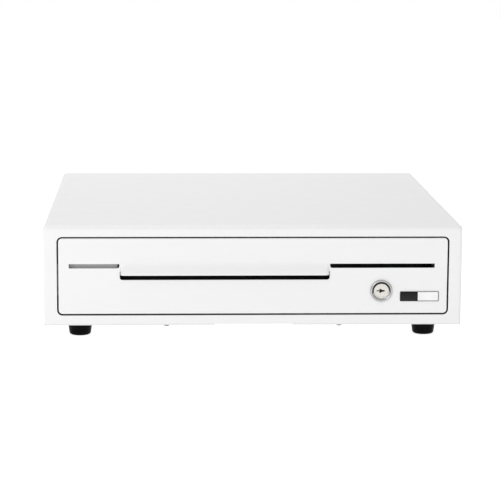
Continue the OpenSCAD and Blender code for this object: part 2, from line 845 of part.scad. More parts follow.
module till_tray() {
    w = till_w / 2;
    note_y = [bay_wall_y + till_wall, till_rear - till_wall];
    cavity = [till_z + till_wall, till_z + till_h + 1];
    color("#26262a") difference() {
        block([-w, w], [till_y, till_rear], [till_z, till_z + till_h]);
        block([till_wall - w, w - till_wall], [till_y + till_wall, bay_wall_y], cavity);
        for (i = [0:note_bays - 1])
            block([bay_left(i), bay_left(i) + bay_w], note_y, cavity);
        rod_x(clip_rod_r + fit, [-w - 1, w + 1], clip_y, clip_z);
    }
}

module clip_rod()
    color("silver") rod_x(clip_rod_r, [-till_w / 2, till_w / 2], clip_y, clip_z);

module clip_springs() {
    color("silver") for (i = [0:note_bays - 1]) {
        x = bay_left(i) + bay_w / 2 + 9;
        difference() {
            rod_x(3.6, [x, x + 8], clip_y, clip_z);
            rod_x(clip_rod_r + 0.3, [x - 1, x + 9], clip_y, clip_z);
        }
    }
}

// A hub on the rod, an arm sloping down to the front, and a wide paddle that holds the notes.
module note_clip(i) {
    hub_w = 16;
    arm_w = 12;
    paddle_w = min(46, bay_w - 16);
    paddle_l = 16;
    arm_t = 2.4;
    color("#1f1f22") difference() {
        at(bay_left(i - 1) + bay_w / 2, clip_y, clip_z) rotate([clip_drop, 0, 0]) union() {
            rotate([0, 90, 0]) cylinder(r = 4.5, h = hub_w, center = true);
            translate([-arm_w / 2, -clip_len + 3, -arm_t]) cube([arm_w, clip_len - 3, arm_t]);
            translate([0, -clip_len + paddle_l / 2, -arm_t])
                linear_extrude(arm_t) round_rect(paddle_w, paddle_l, 5);
        }
        rod_x(clip_rod_r + fit, [bay_left(i - 1), bay_left(i - 1) + bay_w], clip_y, clip_z);
    }
}

// One cup: a trough with a round floor, open above.
module cup_shape(w, d, grow, top) {
    r = d / 2 + grow;
    x = [-w / 2 - grow, w / 2 + grow];
    rod_x(r, x, 0, 0);
    block(x, [-r, r], [0, top]);
}

module coin_tray() {
    wall = 2;
    play = 1.5;
    size_x = till_w - 2 * till_wall - 2 * play;
    size_y = bay_wall_y - till_y - till_wall - 2 * play;
    first_y = till_y + till_wall + play;
    low = till_z + till_wall;
    top = till_z + till_h - 2;
    cup_w = (size_x - wall * (coin_columns + 1)) / coin_columns;
    cup_d = (size_y - wall * (coin_rows + 1)) / coin_rows;
    axis_z = low + wall + cup_d / 2;
    color("#2c2c30") difference() {
        union() {
            block([-size_x / 2, size_x / 2], [first_y, first_y + size_y], [top - 6, top]);
            cup_grid(size_x, first_y, cup_w, cup_d, axis_z, wall)
                cup_shape(cup_w, cup_d, wall, top - axis_z);
        }
        cup_grid(size_x, first_y, cup_w, cup_d, axis_z, wall)
            cup_shape(cup_w, cup_d, 0, top - axis_z + 1);
        block([-size_x, size_x], [till_y - 10, bay_wall_y + 10], [top, axis_z + cup_d]);
    }
}

module cup_grid(size_x, first_y, cup_w, cup_d, axis_z, wall)
    for (column = [0:coin_columns - 1], row = [0:coin_rows - 1])
        translate([
            -size_x / 2 + wall + cup_w / 2 + column * (cup_w + wall),
            first_y + wall + cup_d / 2 + row * (cup_d + wall),
            axis_z
        ]) children();

// ---------------------------------------------------------------- nodes

top_cover();
base_pan();
rear_panel();
foot(0);  // foot_front_left
foot(1);  // foot_front_right
foot(2);  // foot_rear_left
foot(3);  // foot_rear_right
foot_screws();
base_screws();
rear_panel_screws();
close_bumpers();
rail_bracket(-1);  // rail_bracket_left
rail_bracket(1);  // rail_bracket_right
outer_rail(-1);  // outer_rail_left
outer_rail(1);  // outer_rail_right
mechanism_plate();
latch_pivot_post();
latch_spring();
solenoid_frame();
solenoid_coil();
microswitch();
ejector_bracket();
ejector_spring();
interface_socket();
control_cable();
ball_cage(-1);  // ball_cage_left
ball_cage(1);  // ball_cage_right
bearing_balls(-1);  // bearing_balls_left
bearing_balls(1);  // bearing_balls_right
drawer_front();
drawer_tray();
note_guide();
badge();
lock_body();
lock_nut();
catch_strike();
inner_rail(-1);  // inner_rail_left
inner_rail(1);  // inner_rail_right
inner_rail_screws();
front_screws();
till_ledge(-1);  // till_ledge_left
till_ledge(1);  // till_ledge_right
lever_rivet();
lock_plug();
lock_cam();
lock_lever();
latch_lever();
solenoid_plunger();
switch_lever();
ejector_pusher();
till_tray();
clip_rod();
clip_springs();
coin_tray();
note_clip(1);  // note_clip_1
note_clip(2);  // note_clip_2
note_clip(3);  // note_clip_3
note_clip(4);  // note_clip_4
note_clip(5);  // note_clip_5
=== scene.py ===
"""The looks of the cash drawer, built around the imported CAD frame."""

import json
import math

import bmesh
import bpy
from mathutils import Matrix, Vector
from mathutils.geometry import tessellate_polygon


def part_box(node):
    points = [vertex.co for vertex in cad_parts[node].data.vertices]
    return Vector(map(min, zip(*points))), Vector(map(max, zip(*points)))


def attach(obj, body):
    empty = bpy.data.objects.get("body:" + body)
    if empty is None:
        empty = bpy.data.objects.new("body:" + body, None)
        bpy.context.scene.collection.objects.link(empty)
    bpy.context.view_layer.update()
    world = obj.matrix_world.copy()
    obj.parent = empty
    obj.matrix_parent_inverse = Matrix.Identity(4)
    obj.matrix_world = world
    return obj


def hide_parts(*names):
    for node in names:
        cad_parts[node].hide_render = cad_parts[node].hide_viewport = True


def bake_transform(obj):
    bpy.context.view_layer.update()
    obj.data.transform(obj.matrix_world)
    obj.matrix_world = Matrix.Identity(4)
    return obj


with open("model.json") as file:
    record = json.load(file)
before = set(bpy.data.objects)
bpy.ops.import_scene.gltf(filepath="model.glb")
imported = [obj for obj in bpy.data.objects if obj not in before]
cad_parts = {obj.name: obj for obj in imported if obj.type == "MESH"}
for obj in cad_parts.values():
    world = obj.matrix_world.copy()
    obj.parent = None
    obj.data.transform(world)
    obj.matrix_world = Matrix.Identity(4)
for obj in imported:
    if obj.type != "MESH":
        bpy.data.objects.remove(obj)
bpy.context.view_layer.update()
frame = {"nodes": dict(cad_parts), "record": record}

MM = 0.001
RECORD = frame["record"]
SLOT_OF = {part["node"]: part["material_slot"] for part in RECORD["subparts"]}
BODY_OF = {node: body for body, nodes in RECORD["behaviour"]["bodies"].items() for node in nodes}

VIEW_TURN = (2.526, 9.458, 0.318)  # degrees to the right, down, and of roll
VIEW_FROM = (-0.0879, -1.9090, 0.2948)  # metres from the middle of the cover's upper front edge
LENS = 143.02  # millimetres


# ---- node trees

class Nodes:
    """A node tree whose nodes are added and linked with one call each."""

    def __init__(self, tree):
        self.tree = tree

    def add(self, kind, **inputs):
        node = self.tree.nodes.new("ShaderNode" + kind)
        for name, value in inputs.items():
            self.feed(node.inputs[name.replace("_", " ")], value)
        return node

    def feed(self, socket, value):
        if isinstance(value, bpy.types.NodeSocket):
            self.tree.links.new(value, socket)
        else:
            socket.default_value = value

    def spread(self, fac, low, high, from_low=0.3, from_high=0.7):
        """Turns one range of numbers into another."""
        return self.add("MapRange", Value=fac, From_Min=from_low, From_Max=from_high,
                        To_Min=low, To_Max=high).outputs["Result"]

    def multiply(self, a, b):
        node = self.add("Math")
        node.operation = "MULTIPLY"
        self.feed(node.inputs[0], a)
        self.feed(node.inputs[1], b)
        return node.outputs[0]


class Shader(Nodes):
    """A material's nodes, with the patterns and bumps that the looks are made of."""

    def __init__(self, name):
        self.mat = bpy.data.materials.new(name)
        self.mat.use_nodes = True
        super().__init__(self.mat.node_tree)
        self.bsdf = self.tree.nodes["Principled BSDF"]
        self.place = self.add("TexCoord").outputs["Object"]

    def noise(self, scale, detail=4.0, roughness=0.55, stretch=(1, 1, 1)):
        """Noise over the object, scale in lumps per metre, stretched along an axis where asked."""
        mapping = self.add("Mapping", Vector=self.place, Scale=stretch)
        return self.add("TexNoise", Vector=mapping.outputs[0], Scale=scale, Detail=detail,
                        Roughness=roughness).outputs["Fac"]

    def blend(self, fac, a, b):
        """Mixes two colours, each a value or a socket."""
        node = self.tree.nodes.new("ShaderNodeMix")
        node.data_type = "RGBA"
        self.feed(node.inputs["Factor"], fac)
        self.feed(node.inputs[6], a)
        self.feed(node.inputs[7], b)
        return node.outputs[2]

    def bump(self, height, strength, distance, under=None):
        node = self.add("Bump", Height=height, Strength=strength, Distance=distance)
        if under is not None:
            self.feed(node.inputs["Normal"], under)
        return node.outputs["Normal"]

    def set(self, **inputs):
        for name, value in inputs.items():
            self.feed(self.bsdf.inputs[name.replace("_", " ")], value)
        return self.mat


# ---- camera, light and floor

def make_camera():
    """The photograph's viewpoint: a long lens, a little left of the middle and looking slightly down."""
    yaw, pitch, roll = (math.radians(a) for a in VIEW_TURN)
    front_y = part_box("top_cover")[0].y
    top_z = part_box("top_cover")[1].z
    ahead = Vector((math.sin(yaw) * math.cos(pitch), math.cos(yaw) * math.cos(pitch), -math.sin(pitch)))
    right = Vector((math.cos(yaw), -math.sin(yaw), 0))
    up = right.cross(ahead)
    data = bpy.data.cameras.new("camera")
    data.sensor_width = 36
    data.lens = LENS
    camera = bpy.data.objects.new("camera", data)
    turn = Matrix((
        right * math.cos(roll) + up * math.sin(roll),
        up * math.cos(roll) - right * math.sin(roll),
        -ahead,
    )).transposed()
    camera.matrix_world = Matrix.Translation(Vector(VIEW_FROM) + Vector((0, front_y, top_z))) @ turn.to_4x4()
    bpy.context.scene.collection.objects.link(camera)
    bpy.context.scene.camera = camera


def make_world(level, zenith, sides):
    """White all round for the camera; as light, a soft dome, brighter overhead and dimmer at the sides."""
    world = bpy.data.worlds.new("studio")
    world.use_nodes = True
    bpy.context.scene.world = world
    n = Nodes(world.node_tree)
    n.tree.nodes.clear()
    way = n.add("SeparateXYZ", Vector=n.add("TexCoord").outputs["Generated"]).outputs
    height = n.spread(way["Z"], level, zenith, 0, 0.9)
    side = n.spread(n.multiply(way["X"], way["X"]), 1, sides, 0, 1)
    mix = n.add("MixShader")
    n.feed(mix.inputs[0], n.add("LightPath").outputs["Is Camera Ray"])
    n.feed(mix.inputs[1], n.add("Background", Strength=n.multiply(height, side)).outputs[0])
    n.feed(mix.inputs[2], n.add("Background", Color=(1, 1, 1, 1)).outputs[0])
    n.add("OutputWorld", Surface=mix.outputs[0])


def add_area(name, place, target, size, power):
    data = bpy.data.lights.new(name, "AREA")
    data.shape = "RECTANGLE"
    data.size, data.size_y = size
    data.energy = power
    lamp = bpy.data.objects.new(name, data)
    lamp.location = place
    lamp.rotation_euler = (Vector(target) - Vector(place)).to_track_quat("-Z", "Y").to_euler()
    bpy.context.scene.collection.objects.link(lamp)


def make_floor():
    """A plain white sweep that glows a little, as a lit product table does."""
    bpy.ops.mesh.primitive_plane_add(size=12, location=(0, 0, -0.0002))
    floor = bpy.context.object
    floor.name = "floor"
    floor.data.materials.append(Shader("floor_white").set(
        Base_Color=rgb(0.55, 0.55, 0.55),
        Roughness=0.9,
        Specular_IOR_Level=0.1,
        Emission_Color=rgb(1, 1, 1),
        Emission_Strength=0.75,
    ))


# ---- materials

def rgb(r, g, b):
    return (r, g, b, 1)


def shade(color, share=1.0):
    """A colour, or a darker shade of it."""
    return rgb(*(c * share for c in color))


def powder_coat(name, color, shade_from=None):
    """Satin powder coat: a fine orange-peel skin, with a very slight change of tone from place to place.

    Past a given depth behind the face the colour fades to a dark grey: painted shade for the gap round the
    drawer front.
    """
    s = Shader(name)
    coat = s.blend(s.noise(7, 3), shade(color, 0.985), shade(color))
    if shade_from is not None:
        depth = s.add("SeparateXYZ", Vector=s.place).outputs["Y"]
        share = s.spread(depth, 0, 1, shade_from, shade_from + PAINTED_SHADE_FADE)
        # painted shade: deeper than the front face the colour turns to a dark grey, for the shade in the gap
        # round the drawer front
        coat = s.blend(share, coat, RETURN_PAINTED_SHADE)
    peel = s.bump(s.noise(900, 3, 0.5), 0.10, 0.0002)
    return s.set(
        Base_Color=coat,
        Roughness=s.spread(s.noise(60, 5), 0.30, 0.38),
        Specular_IOR_Level=0.5,
        Normal=s.bump(s.noise(3800, 2, 0.6), 0.05, 0.00006, peel),
    )


def zinc_plate(name, color=(0.60, 0.61, 0.63), roughness=0.30):
    """Bright zinc on rolled steel: cloudy patches, fine rolling lines and small scratches."""
    s = Shader(name)
    clouds = s.noise(90, 6, 0.6)
    lines = s.noise(700, 3, 0.6, (0.04, 1, 1))
    scratches = s.noise(260, 8, 0.75, (1, 0.06, 1))
    warm = rgb(color[0] * 1.03, color[1], color[2] * 0.95)
    return s.set(
        Base_Color=s.blend(clouds, shade(color, 0.82), warm),
        Metallic=1.0,
        Roughness=s.spread(clouds, roughness - 0.07, roughness + 0.12),
        Normal=s.bump(scratches, 0.08, 0.00005, s.bump(lines, 0.12, 0.00005)),
    )


def polished_metal(name, color, roughness):
    """Chrome or polished steel with faint wipe marks."""
    s = Shader(name)
    smears = s.noise(500, 6, 0.7, (1, 1, 0.1))
    return s.set(
        Base_Color=s.blend(smears, shade(color, 0.92), shade(color)),
        Metallic=1.0,
        Roughness=s.spread(smears, roughness * 0.7, roughness * 1.5),
        Normal=s.bump(s.noise(2500, 4), 0.04, 0.00003),
    )


def moulded_black(name, level, roughness, grain, shine=0.3):
    """Black moulded plastic or rubber, with a fine spark-eroded grain and slight scuffing on its edges."""
    s = Shader(name)
    patch = s.noise(45, 5, 0.6)
    base = s.blend(patch, rgb(level, level, level * 1.04), rgb(level * 1.7, level * 1.7, level * 1.75))
    edges = s.spread(s.add("NewGeometry").outputs["Pointiness"], 0, 1, 0.52, 0.60)
    return s.set(
        Base_Color=s.blend(edges, base, rgb(level * 3.5, level * 3.5, level * 3.6)),
        Roughness=s.spread(patch, roughness - 0.06, roughness + 0.08),
        Specular_IOR_Level=shine,
        Normal=s.bump(s.noise(grain, 3, 0.6), 0.22, 0.00008),
    )


def coloured_plastic(name, color, roughness=0.42):
    s = Shader(name)
    patch = s.noise(120, 4)
    return s.set(
        Base_Color=s.blend(patch, shade(color, 0.88), shade(color)),
        Roughness=s.spread(patch, roughness - 0.05, roughness + 0.07),
        Normal=s.bump(s.noise(2600, 3), 0.12, 0.00006),
    )


def coil_tape(name):
    """Red-brown insulating tape, wound over enamelled wire whose turns show through it."""
    s = Shader(name)
    wave = s.add("TexWave", Vector=s.place, Scale=320.0, Distortion=1.5, Detail=2.0)
    wave.bands_direction = "X"
    patch = s.noise(150, 4)
    return s.set(
        Base_Color=s.blend(patch, rgb(0.28, 0.05, 0.02), rgb(0.42, 0.09, 0.035)),
        Roughness=s.spread(patch, 0.28, 0.4),
        Normal=s.bump(wave.outputs["Fac"], 0.25, 0.0001),
    )


COAT = (0.72, 0.72, 0.72)
# painted shade: the dark grey that the drawer front's returns and hole walls turn to, from just behind its
# face, for the gap's shade
RETURN_PAINTED_SHADE = rgb(0.26, 0.26, 0.262)
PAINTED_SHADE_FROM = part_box("top_cover")[0].y + 0.0009  # metres, just behind the drawer front's face
PAINTED_SHADE_FADE = 0.0015
LOOKS = {  # for each slot: what makes its material, and with which values
    "white_powder_coat": (powder_coat, COAT),
    "white_coat_inner": (powder_coat, (0.66, 0.66, 0.66)),
    "zinc_plate": (zinc_plate,),
    "bearing_steel": (polished_metal, (0.72, 0.72, 0.73), 0.16),
    "lock_chrome": (polished_metal, (0.47, 0.47, 0.465), 0.16),
    "lock_core_nickel": (zinc_plate, (0.66, 0.65, 0.625), 0.26),
    "black_rubber": (moulded_black, 0.001, 0.3, 2400, 0.05),
    "black_abs": (moulded_black, 0.016, 0.45, 1900),
    "clip_plastic": (moulded_black, 0.014, 0.32, 3000),
    "spring_steel": (zinc_plate, (0.50, 0.51, 0.52), 0.26),
    "coil_tape": (coil_tape,),
    "cage_strip": (zinc_plate, (0.60, 0.50, 0.28), 0.34),
    "dark_plastic": (moulded_black, 0.006, 0.4, 2600, 0.1),
    "blue_nylon": (coloured_plastic, (0.05, 0.10, 0.24)),
    "cable_jacket": (moulded_black, 0.02, 0.5, 1500),
    "badge_plate": (coloured_plastic, (0.80, 0.80, 0.80), 0.3),
}
SLOT_MATERIALS = {slot: make(slot, *values) for slot, (make, *values) in LOOKS.items()}
# the drawer front's coat, with painted shade on everything behind its face
FRONT_WHITE = powder_coat("white_coat_front_painted_shade", COAT, PAINTED_SHADE_FROM)
SCREW = zinc_plate("screw_zinc", (0.22, 0.22, 0.225), 0.2)


def dress_cad_nodes():
    """Gives each CAD node the material of its slot."""
    for name, slot in SLOT_OF.items():
        materials = frame["nodes"][name].data.materials
        materials.clear()
        materials.append(SLOT_MATERIALS[slot])


# ---- sizes in millimetres

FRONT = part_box("top_cover")[0].y / MM  # the cabinet's front plane; y is measured from it below
SHEET = 1.0  # thickness of the cabinet's and the tray's sheet steel
CREASE = math.radians(38)  # edges sharper than this stay sharp
SIDE_BEND = 3.5
FRONT_BEND = 4.0
FRONT_SHEET = 1.2
FRONT_GAP = 1.4
EDGE_ROLL = 0.12  # how far the stamped opening's edge rolls back
FRONT_CORNER = 3.8
FRAME_FOLD = 14.0  # how far the frame's lower fold runs back
RIM_WIDTH = 10.0  # of the flange that the rear panel is screwed to
FEET = ("foot_front_left", "foot_front_right", "foot_rear_left", "foot_rear_right")
NOTCH = (-38, 39)  # the base pan's cut-out behind the front edge
NOTCH_DEPTH = 6
FOOT_HOLE_R = 2.15
PANEL_HOLE_R = 1.5
BASE_SCREW_X = 85
PANEL_SCREW_R = 2.8
PANEL_SCREW_Z = 85
FRONT_SCREWS_X = (-140, -50, 50, 150)
RAIL_SCREW_SHANK = 0.8
FOOT_TAPER = 1.5
BUMPER_WIDTH = 14.0
SLOT_LEFT = (-180.1, -131)
SLOT_RIGHT = (75, 177.7)
SLOT_TOP = 74.1
SLOT_HEIGHT = 4.2
LIP_X = (-130, 74)
LIP_LOW = 63.3  # the hem's lowest line
LIP_ROOT = 77.0  # where the lip starts to swell out of the panel
LIP_FADE = 3.0  # how far each end takes to reach the full swell
HEM_R = 1.0
WINDOW_LOW = 58.3
BARREL_R = 9.5
BARREL_HOLE_R = 9.55
NUT_R = 13.5  # to its corners
PLUG_R = 7.45
PLUG_HOLE_R = 7.56
KEY_FACE_R = 6.3  # the plug's sunk face inside its rim
TRAY_TAB = 7.0  # the tray's front tabs reach past its walls by this much
HATCH_HALF = 17  # of the opening for the lock's lever in the tray's back
TILL_WALL = 2.0
NOTE_BAY_DEPTH = 165.0
BAY_RIB_PITCH = 18
GRIPS_FROM = 118  # where the till's finger grips start, behind its front
CLIP_LENGTH = 60.0
CLIP_HALF = 23.0
CLIP_SHOULDER = 44.0  # where the arm widens into the paddle
CLIP_DROP = 36  # degrees below level
CLIP_SPRING_LENGTH = 8.0
LATCH_REST = 6  # degrees
LATCH_WIRE_R = 0.65
PIVOT_HOLE_R = 3.05
COIL_BORE_R = 4.05
LEVER_HALF = 6  # of the lock lever's width
CABLE_R = 1.5
CABLE_BEND = 7
PLATE_HOLES = ((130, 397), (44, 397))
SWITCH_TAB_END = 351.4
CONTACT_PITCH = 1.27
RIGHT, BACK, AHEAD, UP, DOWN = (1, 0, 0), (0, 1, 0), (0, -1, 0), (0, 0, 1), (0, 0, -1)


def span(node):
    """A CAD node's box in millimetres: its x, y and z from low to high."""
    low, high = (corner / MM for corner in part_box(node))
    return (low.x, high.x), (low.y - FRONT, high.y - FRONT), (low.z, high.z)


def middle(pair):
    return (pair[0] + pair[1]) / 2


def center_of(node):
    """x, y and z of the middle of a CAD node's box."""
    return [middle(pair) for pair in span(node)]


def grown(pair, by):
    return pair[0] - by, pair[1] + by


# ---- outlines in a plane

def spread_angles(first, last, steps):
    return [math.radians(first + (last - first) * k / steps) for k in range(steps + 1)]


def arc(x, y, r, first, last, steps):
    """Points round a center, from one angle to another."""
    return [(x + r * math.cos(a), y + r * math.sin(a)) for a in spread_angles(first, last, steps)]


def circle(x, y, r, steps=32):
    return arc(x, y, r, 0, 360, steps)[:-1]


def shifted(points, x, y):
    return [(x + u, y + v) for u, v in points]


def mirrored(points, flip=(1, -1)):
    """Half a line, and its mirror image run backwards to make the whole."""
    return points + [(u * flip[0], v * flip[1]) for u, v in reversed(points)]


def offset(points, d, closed=True):
    """A line moved to its left by d, corners kept; the left of an anticlockwise outline is its inside."""
    points = [Vector(p) for p in points]
    ways = [(b - a).normalized() for a, b in zip(points, points[1:] + points[:1])]
    sides = [Vector((-way.y, way.x)) for way in ways]
    moved = []
    for i, here in enumerate(points):
        before = sides[i - 1] if closed or i > 0 else sides[0]
        after = sides[i] if closed or i < len(points) - 1 else before
        moved.append(here + (before + after) / max(0.4, 1 + before.dot(after)) * d)
    return moved


def rounded(points, r, steps=5, closed=True):
    """A line whose corners are arcs; r is one radius, or a list with one for each corner."""
    points = [Vector(p) for p in points]
    radii = r if isinstance(r, list) else [r] * len(points)
    line = []
    for i, (corner, radius) in enumerate(zip(points, radii)):
        if radius == 0 or (not closed and i in (0, len(points) - 1)):
            line.append(corner)
            continue
        back = (points[i - 1] - corner).normalized()
        on = (points[(i + 1) % len(points)] - corner).normalized()
        half = back.angle(on) / 2
        center = corner + (back + on).normalized() * radius / math.sin(half)
        start = corner + back * radius / math.tan(half) - center
        sweep = start.angle_signed(corner + on * radius / math.tan(half) - center)
        for k in range(steps + 1):
            turned = start.copy()
            turned.rotate(Matrix.Rotation(-sweep * k / steps, 2))
            line.append(center + turned)
    return line


def rectangle(x, y, r=0.0, steps=5):
    return rounded([(x[0], y[0]), (x[1], y[0]), (x[1], y[1]), (x[0], y[1])], r, steps)


def bent_sheet(path, thick=SHEET, r=0.6):
    """The outline of a sheet that follows a path of corner points, bent to an inner radius r."""
    line = rounded(path, r + thick / 2, 4, closed=False)
    return offset(line, -thick / 2, False) + offset(line, thick / 2, False)[::-1]


def rim(r, near, far):
    """Steps of (inset, depth) from the face at near, round an edge, and so on to the face at far."""
    way = 1 if far > near else -1
    bend = [(inset, depth * way) for inset, depth in arc(r, r, r, 270, 180, 3)]
    return [(i, near + d) for i, d in bend] + [(i, far - d) for i, d in reversed(bend)]


def cut(r, near, far):
    """The same steps for a hole, whose edges are set back outwards."""
    return [(-inset, depth) for inset, depth in rim(r, near, far)]


def upright(u, v, depth):
    """For a plate that faces the front: u is x, v is z."""
    return u, depth, v


def level(u, v, depth):
    """For a plate that lies flat: u is x, v is y."""
    return u, v, depth


def across(u, v, depth):
    """For a profile drawn in y and z, and run along x."""
    return depth, u, v


def facing(way):
    """The turn that takes the z axis to a direction."""
    return Vector(UP).rotation_difference(Vector(way)).to_matrix()


def helix(start, way, r, length, turns, steps=16):
    """Points along a coil that begins at start and runs along way."""
    points = []
    for k in range(round(turns * steps) + 1):
        a = 2 * math.pi * k / steps
        here = Vector((r * math.cos(a), r * math.sin(a), length * k / (turns * steps)))
        points.append(facing(way) @ here + Vector(start))
    return points


# ---- solids

class Solid:
    """Closed shapes, in millimetres, gathered into one piece."""

    def __init__(self, place=None):
        self.bm = bmesh.new()
        self.place = place or Matrix.Identity(4)

    def bridge(self, rows):
        for a, b in zip(rows, rows[1:]):
            for i in range(len(a)):
                j = (i + 1) % len(a)
                self.bm.faces.new((a[i], a[j], b[j], b[i]))

    def skin(self, rings, ends_meet=False):
        """Joins each ring of points to the next; returns the first and the last as vertices."""
        rows = [[self.bm.verts.new(self.place @ Vector(p)) for p in points] for points in rings]
        self.bridge(rows + rows[:1] if ends_meet else rows)
        return rows[0], rows[-1]

    def fill(self, loop, *holes):
        """Closes a flat loop of vertices, leaving out the loops inside it."""
        if not holes:
            self.bm.faces.new(loop)
            return
        corners = [v for line in (loop, *holes) for v in line]
        for triangle in tessellate_polygon([[v.co for v in line] for line in (loop, *holes)]):
            self.bm.faces.new([corners[i] for i in triangle])

    def solid(self, rings):
        for end in self.skin(rings):
            self.fill(end)

    def edge(self, at, outline, steps):
        """The skin of an outline taken through steps of (inset, depth)."""
        return self.skin([[at(p.x, p.y, depth) for p in offset(outline, inset)] for inset, depth in steps])

    def slab(self, at, near, far, outer, holes=(), r=0.2):
        """A plate between two depths, with holes right through it and all its edges rounded."""
        ends = [self.edge(at, outer, rim(r, near, far))]
        ends += [self.edge(at, hole, cut(r, near, far)) for hole in holes]
        for loops in zip(*ends):
            self.fill(*loops)

    def box(self, x, y, z, r=0.3):
        self.slab(level, *z, rectangle(x, y, r, 3), r=r)

    def lathe(self, center, way, profile, steps=40, closed=False):
        """Turns (radius, height) pairs about a line through center; a closed profile makes a ring."""
        rings = [[facing(way) @ Vector((*p, height)) + Vector(center) for p in circle(0, 0, radius, steps)]
                 for radius, height in profile]
        if closed:
            self.skin(rings, ends_meet=True)
        else:
            self.solid(rings)

    def tube(self, path, r, steps=10):
        """A round bar along a row of points."""
        path = [Vector(p) for p in path]
        side = None
        rings = []
        for i, here in enumerate(path):
            way = (path[min(i + 1, len(path) - 1)] - path[max(i - 1, 0)]).normalized()
            side = (way.orthogonal() if side is None else side - way * side.dot(way)).normalized()
            up = way.cross(side)
            rings.append([here + side * u + up * v for u, v in circle(0, 0, r, steps)])
        self.solid(rings)

    def screw(self, center, way, head_r, head_h, shank_r, length):
        """A pan-head screw: center is where the head meets the sheet, way is out of the head."""
        self.lathe(center, way, [(shank_r * 0.6, -length), (shank_r, 0.6 - length), (shank_r, 0)], 16)
        rings = []
        for share in (1.0, 1.0, 0.96, 0.86, 0.72, 0.6, 0.52, 0.38, 0.24, 0.1):
            height = head_h * (1 - share ** 4) ** 0.5 if share < 1 else head_h * 0.12 * len(rings)
            points = []
            for u, v in circle(0, 0, head_r * share, 40):
                in_cross = share < 0.56 and min(abs(u), abs(v)) < head_r * 0.11
                sunk = head_h * 0.45 if in_cross else 0
                points.append(facing(way) @ Vector((u, v, height - sunk)) + Vector(center))
            rings.append(points)
        self.solid(rings)

    def piece(self, name, node, slot=None, replaces=True, look=None, rides=True):
        """Makes the piece: it rides with a CAD node, has its finish, and is shown in its place."""
        bm = self.bm
        bmesh.ops.recalc_face_normals(bm, faces=bm.faces)
        bm.transform(Matrix.Translation((0, FRONT * MM, 0)) @ Matrix.Scale(MM, 4))
        for face in bm.faces:
            face.smooth = True
        for edge in bm.edges:
            edge.smooth = len(edge.link_faces) == 2 and edge.calc_face_angle() < CREASE
        mesh = bpy.data.meshes.new(name)
        bm.to_mesh(mesh)
        bm.free()
        obj = bpy.data.objects.new(name, mesh)
        bpy.context.scene.collection.objects.link(obj)
        mesh.materials.append(look or SLOT_MATERIALS[slot or SLOT_OF[node]])
        obj.modifiers.new("even_shading", "WEIGHTED_NORMAL").keep_sharp = True
        if rides:
            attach(obj, BODY_OF[node])
        if replaces:
            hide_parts(node)
        return obj


# ---- cabinet

def cabinet_section(shrink, inset, y, low):
    """The cover's outline from foot to foot over the top, inset for the bends along the front."""
    (x0, x1), _, (_, top) = span("top_cover")
    r = max(SIDE_BEND - shrink - inset * 0.5, 0.4)
    moved = shrink + inset
    path = [(x0 + moved, low), (x0 + moved, top - moved), (x1 - moved, top - moved), (x1 - moved, low)]
    return [(p.x, y, p.y) for p in rounded(path, r, 6, closed=False)]


def cabinet_band(outer, inner, low):
    """A closed thin band: the outside of the section out, and its inside back."""
    there = cabinet_section(0, outer[1], outer[0], low)
    back = cabinet_section(SHEET, inner[1], inner[0], low)
    return there + back[::-1]


def build_top_cover():
    """One bent sheet with a stamped opening, the fold under its front frame and the rear flanges."""
    s = Solid()
    (_, x1), (_, rear), (low, top) = span("top_cover")
    base_top = low + 2 * SHEET
    inner_r = FRONT_BEND - SHEET
    bends = list(zip(arc(FRONT_BEND, FRONT_BEND, FRONT_BEND, 180, 270, 6),
                     arc(FRONT_BEND, inner_r, inner_r, 180, 270, 6)))
    short = [bend for bend in bends if bend[0][1] > SHEET * 0.6]  # these end above the base pan
    full = bends[len(short):]
    rings = [cabinet_band(*bend, base_top) for bend in short + full[:1]]
    full += [((rear - 0.2, 0), (rear - 0.2, 0)), ((rear, 0.15), (rear, -0.15))]
    first, last = s.skin(rings + [cabinet_band(*bend, low) for bend in full])
    s.fill(last)
    half = len(first) // 2
    outer_face, inner_face = first[:half], first[half:]
    x, _, z = span("drawer_front")
    gap = FRONT_GAP + EDGE_ROLL
    opening = rectangle(grown(x, gap), grown(z, gap), FRONT_CORNER + gap, 8)
    near, far = s.edge(upright, opening, cut(0.15, 0, SHEET))
    s.fill(outer_face, near)
    s.fill(inner_face, far)
    s.bm.faces.new((outer_face[0], outer_face[-1], inner_face[0], inner_face[-1]))
    s.slab(level, base_top, base_top + SHEET, rectangle(x, (SHEET, FRAME_FOLD), 0.5))
    panel_y = span("rear_panel")[1][0]
    edge, lid = x1 - 1, top - 1
    inside = edge - RIM_WIDTH
    flange = [(inside, lid - RIM_WIDTH), (inside, base_top), (edge, base_top), (edge, lid)]
    radii = [4, 1, 0, 2.4]
    s.slab(upright, panel_y - SHEET, panel_y, rounded(mirrored(flange, (-1, 1)), radii + radii[::-1]))
    s.piece("top_cover_skin", "top_cover")


def build_base_pan():
    s = Solid()
    (x0, x1), (y0, y1), (z0, z1) = span("base_pan")
    n0, n1 = NOTCH
    notch = [(n0, y0), (n0, NOTCH_DEPTH), (n1, NOTCH_DEPTH), (n1, y0)]
    outline = [(x0, y0), *notch, (x1, y0), (x1, y1), (x0, y1)]
    floor = rounded(outline, [0.5, 0.5, 2, 2, 0.5, 0.5, 0.5, 0.5], 3)
    s.slab(level, z0, z0 + SHEET, floor, [circle(*place, FOOT_HOLE_R, 20) for place in foot_centers()])
    for side, x in ((1, x0), (-1, x1)):
        wall = [(x + side * 6.5, z0 + 0.5), (x + side * 0.5, z0 + 0.5), (x + side * 0.5, z1)]
        s.slab(upright, y0 + 3, y1 - 2, bent_sheet(wall, SHEET, 0.8))
    rear = bent_sheet([(y1 - 6, z0 + 0.5), (y1 - 0.5, z0 + 0.5), (y1 - 0.5, z1)], SHEET, 0.8)
    s.slab(across, x0 + 11, x1 - 11, rear)
    s.piece("base_pan_sheet", "base_pan")


def foot_centers():
    """x and y of the four feet."""
    return [center_of(name)[:2] for name in FEET]


